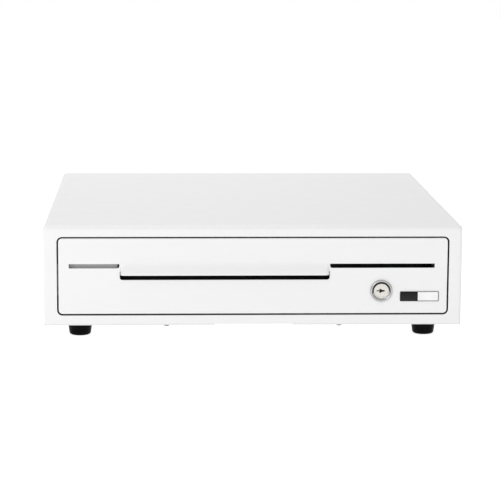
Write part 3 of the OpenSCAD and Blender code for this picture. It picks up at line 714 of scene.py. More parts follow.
def build_rear_panel():
    s = Solid()
    x, y, z = span("rear_panel")
    mouth_x, _, mouth_z = (grown(pair, 0.1) for pair in span("interface_socket"))
    holes = [circle(*place, PANEL_HOLE_R, 20) for place in rear_screw_places()]
    holes.append(rectangle(mouth_x, mouth_z, 0.5, 3))
    s.slab(upright, *y, rectangle(x, z, 2.5), holes, 0.15)
    s.piece("rear_panel_sheet", "rear_panel")


def rear_screw_places():
    """x and z of the rear panel's screws."""
    (_, x1), _, height = span("rear_panel_screws")
    low, high = grown(height, -PANEL_SCREW_R)
    edge_x = x1 - PANEL_SCREW_R
    places = (edge_x, low), (edge_x, PANEL_SCREW_Z), (x1 / 2, high)
    return [(side * x, z) for side in (-1, 1) for x, z in places]


def build_feet():
    for name in FEET:
        s = Solid()
        x, y, (_, top) = span(name)
        r = (x[1] - x[0]) / 2
        profile = [(2.2, top), (2.2, 6), (4, 6), (4, 0.5), (4.5, 0)]
        profile += arc(r - FOOT_TAPER - 2.5, 2.5, 2.5, -90, 0, 6)
        profile += [(r - 0.05, top - 0.4), (r - 0.4, top)]
        s.lathe((middle(x), middle(y), 0), UP, profile, 72, closed=True)
        s.piece(name + "_rubber", name)


def build_screws():
    """All the pan-head screws of the cabinet and the tray."""
    foot_z = span("foot_screws")[2][0]
    base_z = span("base_pan")[2][0]
    panel_y = span("rear_panel")[1][1]
    tray_floor = span("drawer_tray")[2][0] + SHEET
    rows = {  # where they sit, which way they face, head radius and height, shank radius and length
        "foot_screws": ([(x, y, foot_z + 2.4) for x, y in foot_centers()], DOWN, 3.7, 2.4, 2, 12.4),
        "base_screws": ([(side * BASE_SCREW_X, 8, base_z) for side in (-1, 1)], DOWN, 3.25, 2.4, 1.5, 6),
        "rear_panel_screws": ([(x, panel_y, z) for x, z in rear_screw_places()], BACK, 2.8, 1.8, 1.2, 7),
        "front_screws": ([(x, 6, tray_floor) for x in FRONT_SCREWS_X], UP, 3, 1.8, 1.5, 2.3),
    }
    for node, (places, way, *sizes) in rows.items():
        s = Solid()
        for place in places:
            s.screw(place, way, *sizes)
        s.piece(node + "_crossed", node, look=SCREW)
    s = Solid()
    (_, x1), y, z = span("inner_rail_screws")
    for side in (-1, 1):
        for place_y in (y[0] + 3.6, middle(y), y[1] - 3.6):
            place = (side * (x1 - RAIL_SCREW_SHANK), place_y, middle(z))
            s.screw(place, (-side, 0, 0), 3.6, 1.8, 2, RAIL_SCREW_SHANK)
    s.piece("inner_rail_screws_crossed", "inner_rail_screws")


def build_bumpers():
    s = Solid()
    (x0, x1), (y0, y1), z = span("close_bumpers")
    for low in (x0, x1 - BUMPER_WIDTH):
        block = (low, low + BUMPER_WIDTH)
        s.box(block, (y0 + 1.2, y1), z, 1.2)
        for k in range(3):
            rib_z = z[0] + 5 + 4.2 * k
            s.box(grown(block, -1), (y0, y0 + 2.4), (rib_z - 1, rib_z + 1), 0.9)
    s.piece("close_bumpers_ribbed", "close_bumpers")


# ---- drawer front

def build_drawer_front():
    """A pan with folded edges and the lip; its face has two slots, the lock's hole and the window."""
    s = Solid()
    x, (_, depth), z = span("drawer_front")
    steps = arc(0.8, 0.8, 0.8, 270, 180, 5)
    steps += [(0, depth - 0.2), (0.2, depth), (FRONT_SHEET - 0.2, depth), (FRONT_SHEET, depth - 0.2)]
    steps += [(FRONT_SHEET, FRONT_SHEET + 0.4), (FRONT_SHEET + 0.4, FRONT_SHEET)]
    face, back = s.edge(upright, rectangle(x, z, FRONT_CORNER, 8), steps)
    cuts = [slot_outline(SLOT_LEFT, 1), slot_outline(SLOT_RIGHT, -1)]
    cuts.append(circle(*lock_center(), BARREL_HOLE_R, 40))
    ends = [s.edge(upright, line, cut(0.25, 0, FRONT_SHEET)) for line in cuts]
    ends.append(s.edge(upright, window_outline(), [(0, 0), (0, FRONT_SHEET)]))
    s.fill(face, *[near for near, far in ends])
    s.fill(back, *[far for near, far in ends])
    add_lip(s)
    s.piece("drawer_front_panel", "drawer_front", look=FRONT_WHITE)


def lock_center():
    """x and z of the lock."""
    x, _, z = center_of("lock_body")
    return x, z


def slot_outline(x, inner_end):
    """A slot, square at its outer end and with its lower inner corner rounded."""
    radii = [0.3, 2, 0.3, 0.3] if inner_end > 0 else [2, 0.3, 0.3, 0.3]
    return rounded(rectangle(x, (SLOT_TOP - SLOT_HEIGHT, SLOT_TOP)), radii, 4)


def window_outline():
    """The window behind the lip: a hair wider below, where the lip's ends are cut free."""
    x0, x1 = LIP_X
    gap = 0.6
    cut_top = LIP_LOW + 3
    points = [(x0 - gap, WINDOW_LOW), (x1 + gap, WINDOW_LOW), (x1 + gap, cut_top), (x1, cut_top + 0.8),
              (x1, LIP_ROOT), (x0, LIP_ROOT), (x0, cut_top + 0.8), (x0 - gap, cut_top)]
    return rounded(points, [2.5, 2.5, 0.2, 0.2, 0, 0, 0.2, 0.2], 6)


def add_lip(s):
    """The sheet above the window, drawn out into a smooth bulge and rolled into a hem along its foot."""
    out = -span("drawer_front")[1][0]
    hem_y, hem_z = HEM_R - out, LIP_LOW + HEM_R
    start_z = LIP_ROOT - 1
    fall = start_z - hem_z - 0.5
    slope = [k / 12 for k in range(13)]
    outer = [(0, LIP_ROOT)] + [(-(out - 0.1) * t * t * (2 - t), start_z - fall * t) for t in slope]
    inner = [(y + FRONT_SHEET, z + 0.5) for y, z in outer[-2:0:-1]] + [(FRONT_SHEET, LIP_ROOT)]
    profile = [(0, y, z) for y, z in outer]  # each point's y in the flat panel, and its y and z in the bulge
    profile += [(FRONT_SHEET if y > hem_y else 0, y, z) for y, z in arc(hem_y, hem_z, HEM_R, 190, 370, 9)]
    profile += [(FRONT_SHEET, y, z) for y, z in inner]
    x0, x1 = LIP_X
    fade = [LIP_FADE * k / 6 for k in range(7)]
    stations = [(x0 + d, d / LIP_FADE) for d in fade] + [(x1 - d, d / LIP_FADE) for d in reversed(fade)]
    s.solid([[(x, flat + (y - flat) * share ** 0.5, z) for flat, y, z in profile] for x, share in stations])


def build_note_guide():
    """The strip behind the left slot that turns notes down into the drawer."""
    s = Solid()
    x, (y0, y1), (z0, z1) = span("note_guide")
    path = [(y0 + 0.5, z1), (y0 + 0.5, z1 - 6.6), (y0 + 5.4, z1 - 8.6), (y1 - 0.5, z0 + 0.2)]
    s.slab(across, *x, bent_sheet(path, SHEET, 1.0))
    s.piece("note_guide_bent", "note_guide")


# ---- lock and badge

def build_lock_body():
    """The threaded barrel and its rolled collar, with a small index mark beside the key."""
    x, z = lock_center()
    s = Solid()
    (x0, x1), (y0, tail), _ = span("lock_body")
    out = -y0
    r = (x1 - x0) / 2
    profile = [
        (PLUG_HOLE_R, -tail), (PLUG_HOLE_R, out - 1.6), (8.6, out - 1.4), (8.6, out - 0.75),
        (8.85, out - 0.4), (9.3, out - 0.1), (9.8, out), (r - 0.75, out - 0.12), (r - 0.3, out - 0.45),
        (r - 0.05, out - 0.95), (r, out - 1.4), (r, 0), (BARREL_R, 0), (BARREL_R, -tail),
    ]
    s.lathe((x, 0, z), AHEAD, profile, 96, closed=True)
    thread = [(9.3, -0.5), (BARREL_R, 0), (9.3, 0.5), (9.0, 0)]
    for k in range(10):
        s.lathe((x, 4.6 + 1.5 * k, z), BACK, thread, 48, closed=True)
    mark = shifted([(5.9, -6.1), (7.2, -6.6), (6.6, -4.9)], x, z)
    s.slab(upright, -out - 0.02, 0.4 - out, rounded(mark, 0.2, 2), r=0.08)
    s.piece("lock_collar", "lock_body")


def build_lock_plug():
    """The plug with its keyway, and the dark shutter behind the keyway, which also serves as painted shade
    in the keyway.
    """
    x, z = lock_center()
    face, back = span("lock_plug")[1]
    s = Solid()
    lower = [(-4.6, -0.45), (-1.8, -0.45), (-1.8, -2.1), (-0.8, -1.9), (0.7, -1.0), (3.4, -0.55)]
    keyway = rounded(shifted(mirrored(lower), x, z), 0.12, 2)
    s.slab(upright, face + 0.3, 5, circle(x, z, PLUG_R, 72), [keyway], 0.1)
    s.slab(upright, face, face + 0.35, circle(x, z, PLUG_R, 72), [circle(x, z, KEY_FACE_R, 64)], 0.12)
    s.lathe((x, 0, z), BACK, [(PLUG_R, 4.9), (7.5, 5), (7.5, back)], 48)
    s.piece("lock_plug_face", "lock_plug")
    # partly a real dust shutter, partly painted shade: a dark block that makes the keyway look as dark as
    # its shade
    s = Solid()
    s.box((x - 4.8, x + 3.6), (1.0, 1.6), (z - 2.3, z + 2.3), 0.1)
    s.piece("keyway_shutter_and_shade", "lock_plug", "dark_plastic", replaces=False)


def build_painted_shadow_crescent():
    """A dark crescent round the plug, thickest at the top left and thin towards both ends: painted shadow of
    the collar's recess.
    """
    x, z = lock_center()
    s = Solid()
    rings = []
    for a in spread_angles(-12, 200, 48):
        low = 8.4 - 1.3 * max(0, math.sin((a + 0.2) * 0.86)) ** 0.4
        corners = [(9.0, -1.62), (9.0, -0.8), (low, -0.8), (low, -1.3)]
        rings.append([(x + r * math.cos(a), y, z + r * math.sin(a)) for r, y in corners])
    s.solid(rings)
    # painted shadow: a dark plastic ring where the collar's recess shades the plug
    s.piece("lock_painted_shadow_crescent", "lock_body", "dark_plastic", replaces=False)


def build_lock_nut():
    s = Solid()
    hexagon = rounded(circle(*lock_center(), NUT_R, 6), 0.8, 3)
    s.slab(upright, *span("lock_nut")[1], hexagon, [circle(*lock_center(), BARREL_HOLE_R, 48)], 0.4)
    s.piece("lock_nut_hex", "lock_nut")


def build_lock_cam():
    """A hanging plate with a pin at its end, held by a small hexagonal nut."""
    x, z = lock_center()
    s = Solid()
    y, y1 = span("lock_cam")[1]
    pin_z = cam_pin_z()
    s.slab(upright, y, y + 2, arc(x, z, 7.5, -60, 240, 24) + arc(x, pin_z, 4, 180, 360, 12))
    s.lathe((x, y, pin_z), BACK, [(2, 0.1), (2, y1 - y - 0.3), (1.7, y1 - y)], 24)
    s.lathe((x, y + 2, z), BACK, [(5, -0.1), (5, 0.02), (4.6, 0.1)], 6)
    s.piece("lock_cam_plate", "lock_cam")


def cam_pin_z():
    return span("lock_cam")[2][0] + 4


def build_badge():
    """A plain plate: light, with a dark face over its left part and a thin dark border round the rest."""
    (x0, x1), (y0, y1), z = span("badge")
    outline = rectangle((x0, x1), z, 0.7, 4)
    s = Solid()
    s.slab(upright, y0 + 0.25, y1, outline, r=0.1)
    s.piece("badge_plate", "badge")
    s = Solid()
    light = rectangle((x0 + (x1 - x0) * 0.46, x1 - 0.5), grown(z, -0.5), 0.3, 3)
    s.slab(upright, y0, y0 + 0.27, outline, [light], 0.06)
    s.piece("badge_border", "badge", "dark_plastic", replaces=False)


# ---- tray and rails

def tray_wall():
    """How far the outside of the tray's walls is from the middle."""
    return span("drawer_tray")[0][1] - TRAY_TAB


def build_tray():
    """A folded pan with a hatch in its back for the lock's lever, front tabs and hemmed upper edges."""
    s = Solid()
    _, (y0, y1), (z0, z1) = span("drawer_tray")
    wall = tray_wall()
    edge = wall - SHEET / 2
    path = mirrored([(-edge, z1), (-edge, z0 + SHEET / 2)], (-1, 1))
    s.slab(upright, y0, y1 - SHEET, bent_sheet(path, SHEET, 1.2))
    hatch_z = (z0 + SHEET + 0.2, span("lock_lever")[2][0] + 4)
    lock_x, _ = lock_center()
    hatch = rectangle((lock_x - HATCH_HALF, lock_x + HATCH_HALF), hatch_z, 1, 3)
    back = rounded(rectangle((-wall, wall), (z0, z1)), [0.8, 0.8, 2.5, 2.5])
    s.slab(upright, y1 - SHEET, y1, back, [hatch])
    for side in (-1, 1):
        tab = sorted((side * (wall - SHEET), side * (wall + TRAY_TAB)))
        s.slab(upright, y0, y0 + SHEET, rectangle(tab, (z0 + SHEET, z1), 1.5))
        hem = sorted((side * (wall - 0.1), side * (wall - 1.9)))
        s.box(hem, (y0 + 4, y1 - 2), (z1 - 7, z1), 0.8)
    s.piece("drawer_tray_pan", "drawer_tray")


def build_till_ledges():
    """The angles on the tray's walls that carry the till, each with three spot-weld marks."""
    for name, side in (("till_ledge_left", -1), ("till_ledge_right", 1)):
        x, y, (z0, z1) = span(name)
        outer, inner = x[::-side]
        face = outer - side * SHEET / 2
        s = Solid()
        path = [(face, z0), (face, z1 - SHEET / 2), (inner, z1 - SHEET / 2)]
        s.slab(upright, *y, bent_sheet(path, SHEET, 1.0))
        for mark_y in (y[0] + 20, middle(y), y[1] - 20):
            place = (outer - side * 0.9, mark_y, z0 + 5)
            s.lathe(place, (-side, 0, 0), [(2.6, 0), (2.4, 0.25), (1.2, 0.3)], 20)
        s.piece(name + "_bent", name)


def build_rails():
    """On each side the cabinet's rail, the tray's rail inside it, and the bracket that carries them."""
    wall = tray_wall()
    foot = span("rail_bracket_right")[0][1] - wall - 0.5
    kinds = (  # upper half of the section, out from the tray and down from the top; bend and edge radius
        ("outer_rail", "channel", [(2.45, 2.2), (2.45, 0.5), (9.5, 0.5)], 0.3, 0.15),
        ("inner_rail", "channel", [(6.95, 0), (6.95, 1.1), (0.6, 1.1)], 0.2, 0.15),
        ("rail_bracket", "bent", [(foot, 0), (foot, 10.5), (10.5, 10.5)], 0.8, 0.2),
    )
    for hand, side in (("left", -1), ("right", 1)):
        for kind, ending, corners, bend, r in kinds:
            node = f"{kind}_{hand}"
            _, y, z = span(node)
            path = mirrored([(side * (wall + u), (z[1] - z[0]) / 2 - v) for u, v in corners])
            s = Solid()
            s.slab(upright, *y, bent_sheet(shifted(path, 0, middle(z)), SHEET, bend), r=r)
            s.piece(f"{node}_{ending}", node)


# ---- till

def well(top, bottom, rim_r, floor_r, sign):
    """Steps of (inset, height) over a rounded rim, down a wall and round into a floor."""
    over = [(sign * inset, height) for inset, height in rim(rim_r, top, bottom)[:4]]
    return over + arc(floor_r, bottom + floor_r, floor_r, 180, 270, 5)


def build_till_tray():
    """A moulding with five note bays at the rear and one wide bay in front for the coin tray."""
    s = Solid()
    x, y, z = span("till_tray")
    wall = TILL_WALL
    floor = z[0] + wall
    bay_y = (y[1] - wall - NOTE_BAY_DEPTH, y[1] - wall)
    bay_w = (x[1] - x[0] - wall * 6) / 5
    lefts = [x[0] + wall + i * (bay_w + wall) for i in range(5)]
    lines = [rectangle(grown(x, -wall), (y[0] + wall, bay_y[0] - wall), 4)]
    lines += [rectangle((left, left + bay_w), bay_y, 4) for left in lefts]
    body, bottom = s.edge(level, rectangle(x, y, 6), well(z[1], z[0], 0.7, 1.5, 1))
    s.fill(bottom)
    mouths = []
    for line in lines:
        mouth, base = s.edge(level, line, well(z[1], floor, 0.7, 2.5, -1))
        s.fill(base)
        mouths.append(mouth)
    s.fill(body, *mouths)
    for left in lefts:  # ribs that lift the notes off the floor
        for k in (-1, 0, 1):
            rib_x = left + bay_w / 2 + k * BAY_RIB_PITCH
            s.box((rib_x - 0.8, rib_x + 0.8), grown(bay_y, -8), (floor - 0.3, floor + 0.7), 0.4)
    for side, face in ((-1, x[0]), (1, x[1])):  # finger grips on the outer walls
        grip_x = sorted((face - side * 0.6, face - side * 2.6))
        for k in range(5):
            grip_y = y[0] + GRIPS_FROM + 7 * k
            s.box(grip_x, (grip_y, grip_y + 3), (z[1] - 16, z[1] - 6), 0.5)
    s.piece("till_tray_moulding", "till_tray")


def cup_rings(x, y, top, axis_z, grow, rim_r):
    """A coin cup: an upright rim, then a round floor whose ends are softened."""
    half_x, half_y = (x[1] - x[0]) / 2 + grow, (y[1] - y[0]) / 2 + grow
    sizes = [(half_x + inset, half_y + inset, height) for inset, height in rim(rim_r, top, top - 10)[:4]]
    for a in spread_angles(0, 82, 12):
        sizes.append((half_x - 7 * (1 - math.cos(a)), half_y * math.cos(a), axis_z - half_y * math.sin(a)))
    rings = []
    cx, cy = middle(x), middle(y)
    for hx, hy, height in sizes:
        line = rectangle((cx - hx, cx + hx), (cy - hy, cy + hy), min(7, hy * 0.9), 6)
        rings.append([(p.x, p.y, height) for p in line])
    return rings


def build_coin_tray():
    """A moulding with two rows of four coin cups."""
    s = Solid()
    x, y, z = span("coin_tray")
    wall = TILL_WALL
    cup_w = (x[1] - x[0] - wall * 5) / 4
    cup_d = (y[1] - y[0] - wall * 3) / 2
    axis_z = z[0] + wall + cup_d / 2
    deck, _ = s.edge(level, rectangle(x, y, 4), rim(0.6, z[1], z[1] - 6))
    mouths = []
    for column in range(4):
        for row in range(2):
            cup_x = x[0] + wall + column * (cup_w + wall)
            cup_y = y[0] + wall + row * (cup_d + wall)
            spans = (cup_x, cup_x + cup_w), (cup_y, cup_y + cup_d)
            mouth, base = s.skin(cup_rings(*spans, z[1], axis_z, 0, 0.6))
            s.fill(base)
            mouths.append(mouth)
            outside = cup_rings(*spans, z[1] - 5, axis_z, wall - 0.3, 0.1)
            s.fill(s.skin(outside)[1])
    s.fill(deck, *mouths)
    s.piece("coin_tray_moulding", "coin_tray")


def rod_center():
    """y and z of the rod that the clips turn on."""
    return center_of("clip_rod")[1:]


def build_clips():
    """Five sprung arms with broad paddles, which hang down from their hubs."""
    half, far, shoulder = CLIP_HALF, -CLIP_LENGTH, -CLIP_SHOULDER
    side = [(-6, -2), (-5, -28), (-6.5, shoulder), (-half, shoulder), (-half, far)]
    radii = [1, 20, 5, 5, 5]
    plan = rounded(mirrored(side, (-1, 1)), radii + radii[::-1], 6)
    hub = mirrored([(2.05, -8), (4.2, -8), (4.5, -7.7), (4.5, -5), (3.9, -4.7)])
    for i in range(1, 6):
        node = f"note_clip_{i}"
        place = Matrix.Translation((center_of(node)[0], *rod_center()))
        s = Solid(place @ Matrix.Rotation(math.radians(CLIP_DROP), 4, "X"))
        s.slab(level, -2.4, 0, plan, r=0.7)
        s.box((-1.3, 1.3), (far + 5, -4), (-0.6, 1.1), 0.6)
        for k in range(4):  # grip bars under the paddle
            y = far + 3.5 + 3 * k
            s.box((4 - half, half - 4), (y - 0.6, y + 0.6), (-2.4, -1.8), 0.25)
        s.lathe((0, 0, 0), RIGHT, hub, 40, closed=True)
        s.piece(node + "_moulding", node)


def build_clip_rod():
    """The rod that the clips turn on, and their five springs."""
    x0, x1 = span("clip_rod")[0]
    s = Solid()
    s.lathe((0, *rod_center()), RIGHT, [(1.6, x0), (2, x0 + 0.4), (2, x1 - 0.4), (1.6, x1)], 28)
    s.piece("clip_rod_turned", "clip_rod")
    s = Solid()
    low, high = span("clip_springs")[0]
    pitch = (high - low - CLIP_SPRING_LENGTH) / 4
    for i in range(5):
        start = (low + i * pitch + 0.45, *rod_center())
        s.tube(helix(start, RIGHT, 3.1, CLIP_SPRING_LENGTH - 0.9, 6), 0.42, 8)
    s.piece("clip_springs_wound", "clip_springs")


# ---- rear mechanism

def build_ejector():
    """The pusher's hollow nose, the bracket with its guide rod, and the spring between them."""
    cx, _, cz = center_of("ejector_pusher")
    y0, y1 = span("ejector_pusher")[1]
    long = y1 - y0
    s = Solid()
    profile = [(3.05, 3.2), (3.05, long), (4.6, long), (5, long - 0.4), (5, 5.6), (5.6, 5), (8.4, 5),
               (9, 4.4), (9, 1.2), (8.6, 0.5), (7.6, 0.1), (6.8, 0.0), (2, 0.0), (2, 3.2)]
    s.lathe((cx, y0, cz), BACK, profile, 56, closed=True)
    s.lathe((cx, y0, cz), BACK, [(2.1, 0.1), (2.1, 3.1)], 24)
    s.piece("ejector_pusher_nose", "ejector_pusher")

    x, (y0, y1), z = span("ejector_bracket")
    s = Solid()
    path = [(y1 - 16, z[0] + 1), (y1 - 1, z[0] + 1), (y1 - 1, z[1])]
    s.slab(across, *x, bent_sheet(path, 2, 1.5), r=0.3)
    s.lathe((cx, y0, cz), BACK, [(2.4, 0), (3, 0.6), (3, y1 - y0 - 1)], 28)
    s.lathe((cx, y1 - 2, cz), AHEAD, [(5, -0.1), (5, 2), (4.2, 2.6)], 6)
    s.piece("ejector_bracket_bent", "ejector_bracket")

    y0, y1 = span("ejector_spring")[1]
    s = Solid()
    s.tube(helix((cx, y0 + 0.8, cz), BACK, 7.6, y1 - y0 - 1.6, 11, 20), 0.75, 8)
    spring = s.piece("ejector_spring_wound", "ejector_spring", rides=False)
    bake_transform(spring)


def latch_post():
    """x and y of the post that the latch turns on."""
    return center_of("latch_pivot_post")[:2]


def build_latch():
    """The hooked lever, drawn square and then turned to where it rests, and its post with a washer."""
    z0, z1 = span("latch_lever")[2]
    s = Solid(Matrix.Translation((*latch_post(), 0)) @ Matrix.Rotation(math.radians(LATCH_REST), 4, "Z"))
    arm = rounded([(-5, -30), (-5, -37.5), (-13, -37.5), (-13, -42), (5, -42), (5, -30)],
                  [0, 1.5, 0.6, 1.5, 1, 0], 4)
    holes = [circle(0, 0, PIVOT_HOLE_R, 28), rectangle((-1.9, 1.9), (-25.4, -18.6), 1.85)]
    s.slab(level, z0, z1, arc(0, 0, 8, -51, 231, 30) + arm, holes, 0.25)
    s.piece("latch_lever_plate", "latch_lever")

    s = Solid()
    low, high = span("latch_pivot_post")[2]
    post = [(5, low), (5, z0 - 0.5), (4.7, z0 - 0.2), (3, z0 - 0.2), (3, high - 0.5), (2.5, high)]
    washer = [(3, 0), (5.3, 0), (5.5, 0.2), (5.5, 0.6), (5.3, 0.8), (3, 0.8)]
    s.lathe((*latch_post(), 0), UP, post, 32)
    s.lathe((*latch_post(), z1 + 0.3), UP, washer, 32, closed=True)
    s.piece("latch_post_turned", "latch_pivot_post")


def build_latch_spring():
    """A torsion spring: a coil round the post and a leg at each end."""
    s = Solid()
    x, (_, y1), z = span("latch_spring")
    post = latch_post()
    leg_y = y1 - 0.8
    low, high = grown(z, -0.7)
    s.tube([(x[0], leg_y, low), (post[0] - 3, leg_y, low)], LATCH_WIRE_R, 8)
    s.tube(helix((*post, low), UP, 6.2, high - low, 6.25, 20), LATCH_WIRE_R, 8)
    s.tube([(post[0], leg_y, high), (x[1], leg_y, high)], LATCH_WIRE_R, 8)
    s.piece("latch_spring_wound", "latch_spring")


def build_mechanism_plate():
    s = Solid()
    x, y, z = span("mechanism_plate")
    s.slab(level, *z, rectangle(x, y, 4), [circle(*place, 4, 28) for place in PLATE_HOLES], 0.3)
    s.piece("mechanism_plate_sheet", "mechanism_plate")


def build_catch_strike():
    """The bracket with the pin that the latch holds, and the tab that works the switch."""
    x, y, z = span("catch_strike")
    pin_x = x[1] - 8
    high = span("latch_lever")[2][1] + 3
    s = Solid()
    bracket = bent_sheet([(y[0] + 1, high + 18), (y[0] + 1, high + 1), (y[1], high + 1)], 2, 1.2)
    s.slab(across, pin_x - 8, x[1], bracket, r=0.3)
    s.lathe((pin_x, y[1] - 5, 0), UP, [(2.1, high - 8), (2.5, high - 7.5), (2.5, high + 0.5)], 28)
    tab_y, tab_z = y[0] + 0.75, z[0] + 0.75
    tab = bent_sheet([(tab_y, z[0] + 24), (tab_y, tab_z), (SWITCH_TAB_END, tab_z)], 1.5)
    s.slab(across, x[0], x[0] + 8, tab, r=0.25)
    s.piece("catch_strike_brackets", "catch_strike")


def build_solenoid():
    """An open frame, a wound coil in it, and a plunger with the strip that pulls the latch."""
    x, y, z = span("solenoid_frame")
    cy = middle(y)
    cz = z[1] - (y[1] - y[0]) / 2
    s = Solid()
    for low, holes in ((x[0], [circle(cy, cz, COIL_BORE_R, 28)]), (x[1] - 2, [])):
        s.slab(across, low, low + 2, rectangle(y, z, 1.5), holes, 0.3)
    s.box(grown(x, -1.9), y, (cz - 12, cz - 10), 0.3)
    s.piece("solenoid_frame_bent", "solenoid_frame")

    x0, x1 = span("solenoid_coil")[0]
    long = x1 - x0
    steps = 68  # two for each turn of wire
    profile = [(COIL_BORE_R, 0), (9.6, 0), (9.8, 0.2), (9.8, 1.8), (9.2, 2)]
    profile += [(9.3 if k % 2 else 9.05, 2.2 + (long - 4.4) * k / steps) for k in range(steps + 1)]
    profile += [(9.2, long - 2), (9.8, long - 1.8), (9.8, long - 0.2), (9.6, long), (COIL_BORE_R, long)]
    s = Solid()
    s.lathe((x0, cy, cz), RIGHT, profile, 48, closed=True)
    s.piece("solenoid_coil_wound", "solenoid_coil")

    x0, x1 = span("solenoid_plunger")[0]
    top = span("latch_lever")[2][1]
    rod_start = x[0] - 1
    long = x1 - rod_start
    s = Solid()
    s.lathe((rod_start, cy, cz), RIGHT, [(3.6, 0), (4, 0.5), (4, long - 1), (3, long)], 36)
    strip = rounded(rectangle((x0, x[0]), (cy - 3.5, cy + 3.5)), [3, 0.5, 0.5, 3], 6)
    s.slab(level, top + 0.3, top + 1.8, strip, r=0.25)
    s.lathe((x0 + 3.2, cy, 0), UP, [(1.2, top - 3.8), (1.5, top - 3.5), (1.5, top + 0.5)], 20)
    s.piece("solenoid_plunger_turned", "solenoid_plunger")


def build_switch():
    """A case in two halves round a core, with a button, and the blade over the button."""
    (x0, x1), (y0, y1), (z0, z1) = span("microswitch")
    seam = middle((z0, z1))
    holes = [circle(x, y1 - 5, 1.6, 20) for x in (x0 + 6, x0 + 22)]
    case = rectangle((x0, x1), (y0 + 0.8, y1), 0.8)
    core = rectangle((x0 + 0.3, x1 - 0.3), (y0 + 1.2, y1 - 0.3), 0.5)
    s = Solid()
    s.slab(level, z0, seam - 0.1, case, holes, 0.3)
    s.slab(level, seam + 0.1, z1, case, holes, 0.3)
    s.slab(level, z0 + 1, z1 - 1, core, holes, 0.1)
    s.lathe((x0 + 9, y0, z0 + 5), BACK, [(0.7, 0), (1.1, 0.3), (1.1, 1.4)], 18)
    s.piece("microswitch_case", "microswitch")

    s = Solid()
    x, y, (z0, z1) = span("switch_lever")
    pivot = (x[0] + 0.9, y[1] - 0.9)
    s.slab(level, z0, z1, bent_sheet([pivot, (x[1] - 0.1, y[0] + 0.3)], 0.5), r=0.1)
    s.lathe((*pivot, 0), UP, [(0.7, z0), (0.9, z0 + 0.2), (0.9, z1 - 0.2), (0.7, z1)], 16)
    s.piece("switch_lever_blade", "switch_lever")


def build_socket():
    """The inlet's shell with a stepped mouth, and the six contacts in it."""
    x, (y0, y1), z = span("interface_socket")
    cx, _, cz = center_of("interface_socket")
    s = Solid()
    front, back = s.edge(upright, rectangle(x, z, 0.8), rim(0.4, y1, y0))
    s.fill(back)
    mouth = shifted(mirrored([(3, -6), (3, -4.5), (5, -4.5), (5, 2.5)], (-1, 1)), cx, cz)
    lip, floor = s.edge(upright, mouth, [(-0.3, y1), (0, y1 - 0.3), (0, y1 - 12)])
    s.fill(front, lip)
    s.fill(floor)
    s.piece("interface_socket_shell", "interface_socket")
    s = Solid()
    for k in range(6):
        px = cx + (k - 2.5) * CONTACT_PITCH
        s.tube([(px, y1 - 11.8, cz - 2.5), (px, y1 - 3.5, cz + 1.9), (px, y1 - 2.6, cz + 2.2)], 0.25, 8)
    s.piece("socket_contacts", "interface_socket", "cage_strip", replaces=False)


def build_cable():
    """The lead from the socket up, across and down to the coil, with an easy bend at each corner."""
    (x0, x1), (_, y1), (z0, z1) = span("control_cable")
    sx, ex = grown((x0, x1), -CABLE_R)
    ey = center_of("solenoid_coil")[1]
    start_z = center_of("interface_socket")[2] + 4
    top_z = z1 - CABLE_R
    run_y = y1 - 8
    corners = [Vector(p) for p in ((sx, y1, start_z), (sx, run_y, start_z), (sx, run_y, top_z),
                                   (ex, run_y, top_z), (ex, ey, top_z - 14), (ex, ey, z0))]
    path = corners[:1]
    for before, here, after in zip(corners, corners[1:], corners[2:]):
        reach = min(CABLE_BEND, (here - before).length * 0.45, (after - here).length * 0.45)
        a = here + (before - here).normalized() * reach
        b = here + (after - here).normalized() * reach
        path += [a.lerp(here, t).lerp(here.lerp(b, t), t) for t in (0, 0.17, 0.33, 0.5, 0.67, 0.83, 1)]
    s = Solid()
    s.tube(path + corners[-1:], CABLE_R, 14)
    s.piece("control_cable_lead", "control_cable")


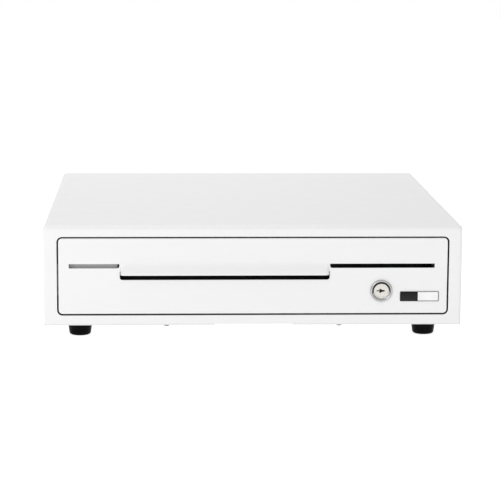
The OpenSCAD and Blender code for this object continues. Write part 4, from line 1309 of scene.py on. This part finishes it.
def build_lock_lever():
    """The bar under the till that the lock's cam turns: a fork in front and a finger at the rear."""
    x, lock_z = lock_center()
    _, (y0, y1), (z0, _) = span("lock_lever")
    low = span("lever_rivet")[2][0]
    pivot = (x, center_of("lever_rivet")[1])
    left, right = x - LEVER_HALF, x + LEVER_HALF
    boss = arc(0, 0, 9, -48, 48, 10)
    front = rounded([(left, y0 + 40), (left, y0), (right, y0), (right, y0 + 40)], [0, 0.5, 0.5, 0])
    rear = rounded([(right, y1 - 40), (right, y1), (left, y1), (left, y1 - 40)], [0, 2, 2, 0])
    bar = [*front, *shifted(boss, *pivot), *rear, *shifted([(-u, -v) for u, v in boss], *pivot)]
    s = Solid()
    s.slab(level, z0, z0 + 2, bar, [circle(*pivot, PIVOT_HOLE_R, 28)], 0.25)
    neck, slot = lock_z - 4.6, cam_pin_z() - 2.5
    fork = shifted(mirrored([(-2.5, slot), (-2.5, neck), (-7, neck), (-7, z0 + 0.2)], (-1, 1)), x, 0)
    s.slab(upright, y0, y0 + 1.5, rounded(fork, [1.2, 1, 1, 0.3, 0.3, 1, 1, 1.2], 4), r=0.2)
    s.box((x - 2.8, x + 1.2), (y1 - 3.5, y1), (z0 + 0.5, span("latch_lever")[2][1]), 0.5)
    s.piece("lock_lever_bar", "lock_lever")
    s = Solid()
    rivet = [(3, low), (3, low + 1), (5, low + 1), (5, z0 - 0.3), (3, z0 - 0.3), (3, z0 + 2.3),
             (4.7, z0 + 2.3), (5, z0 + 2.6), (4.8, z0 + 3.2), (3.6, z0 + 3.8)]
    s.lathe((*pivot, 0), UP, rivet, 36)
    s.piece("lever_rivet_head", "lever_rivet")


make_camera()
make_world(1.0, 1.28, 0.66)
add_area("key", (-0.9, -1.5, 0.8), (-0.1, -0.2, 0.05), (0.9, 0.9), 7)
add_area("back", (-0.25, 0.5, 0.9), (-0.05, 0.2, 0.11), (1.0, 0.4), 2.5)
add_area("strip", (-0.1, -2.8, 0.5), (0, 0, 0.05), (0.12, 1.3), 1)
make_floor()
dress_cad_nodes()

for build in (
    build_top_cover, build_base_pan, build_rear_panel, build_feet, build_screws, build_bumpers,
    build_drawer_front, build_note_guide, build_lock_body, build_lock_plug, build_painted_shadow_crescent,
    build_lock_nut, build_lock_cam, build_badge, build_tray, build_till_ledges, build_rails,
    build_till_tray, build_coin_tray, build_clips, build_clip_rod, build_ejector, build_latch,
    build_latch_spring, build_mechanism_plate, build_catch_strike, build_solenoid, build_switch,
    build_socket, build_cable, build_lock_lever,
):
    build()

scene = bpy.context.scene
scene.view_settings.view_transform = "Standard"
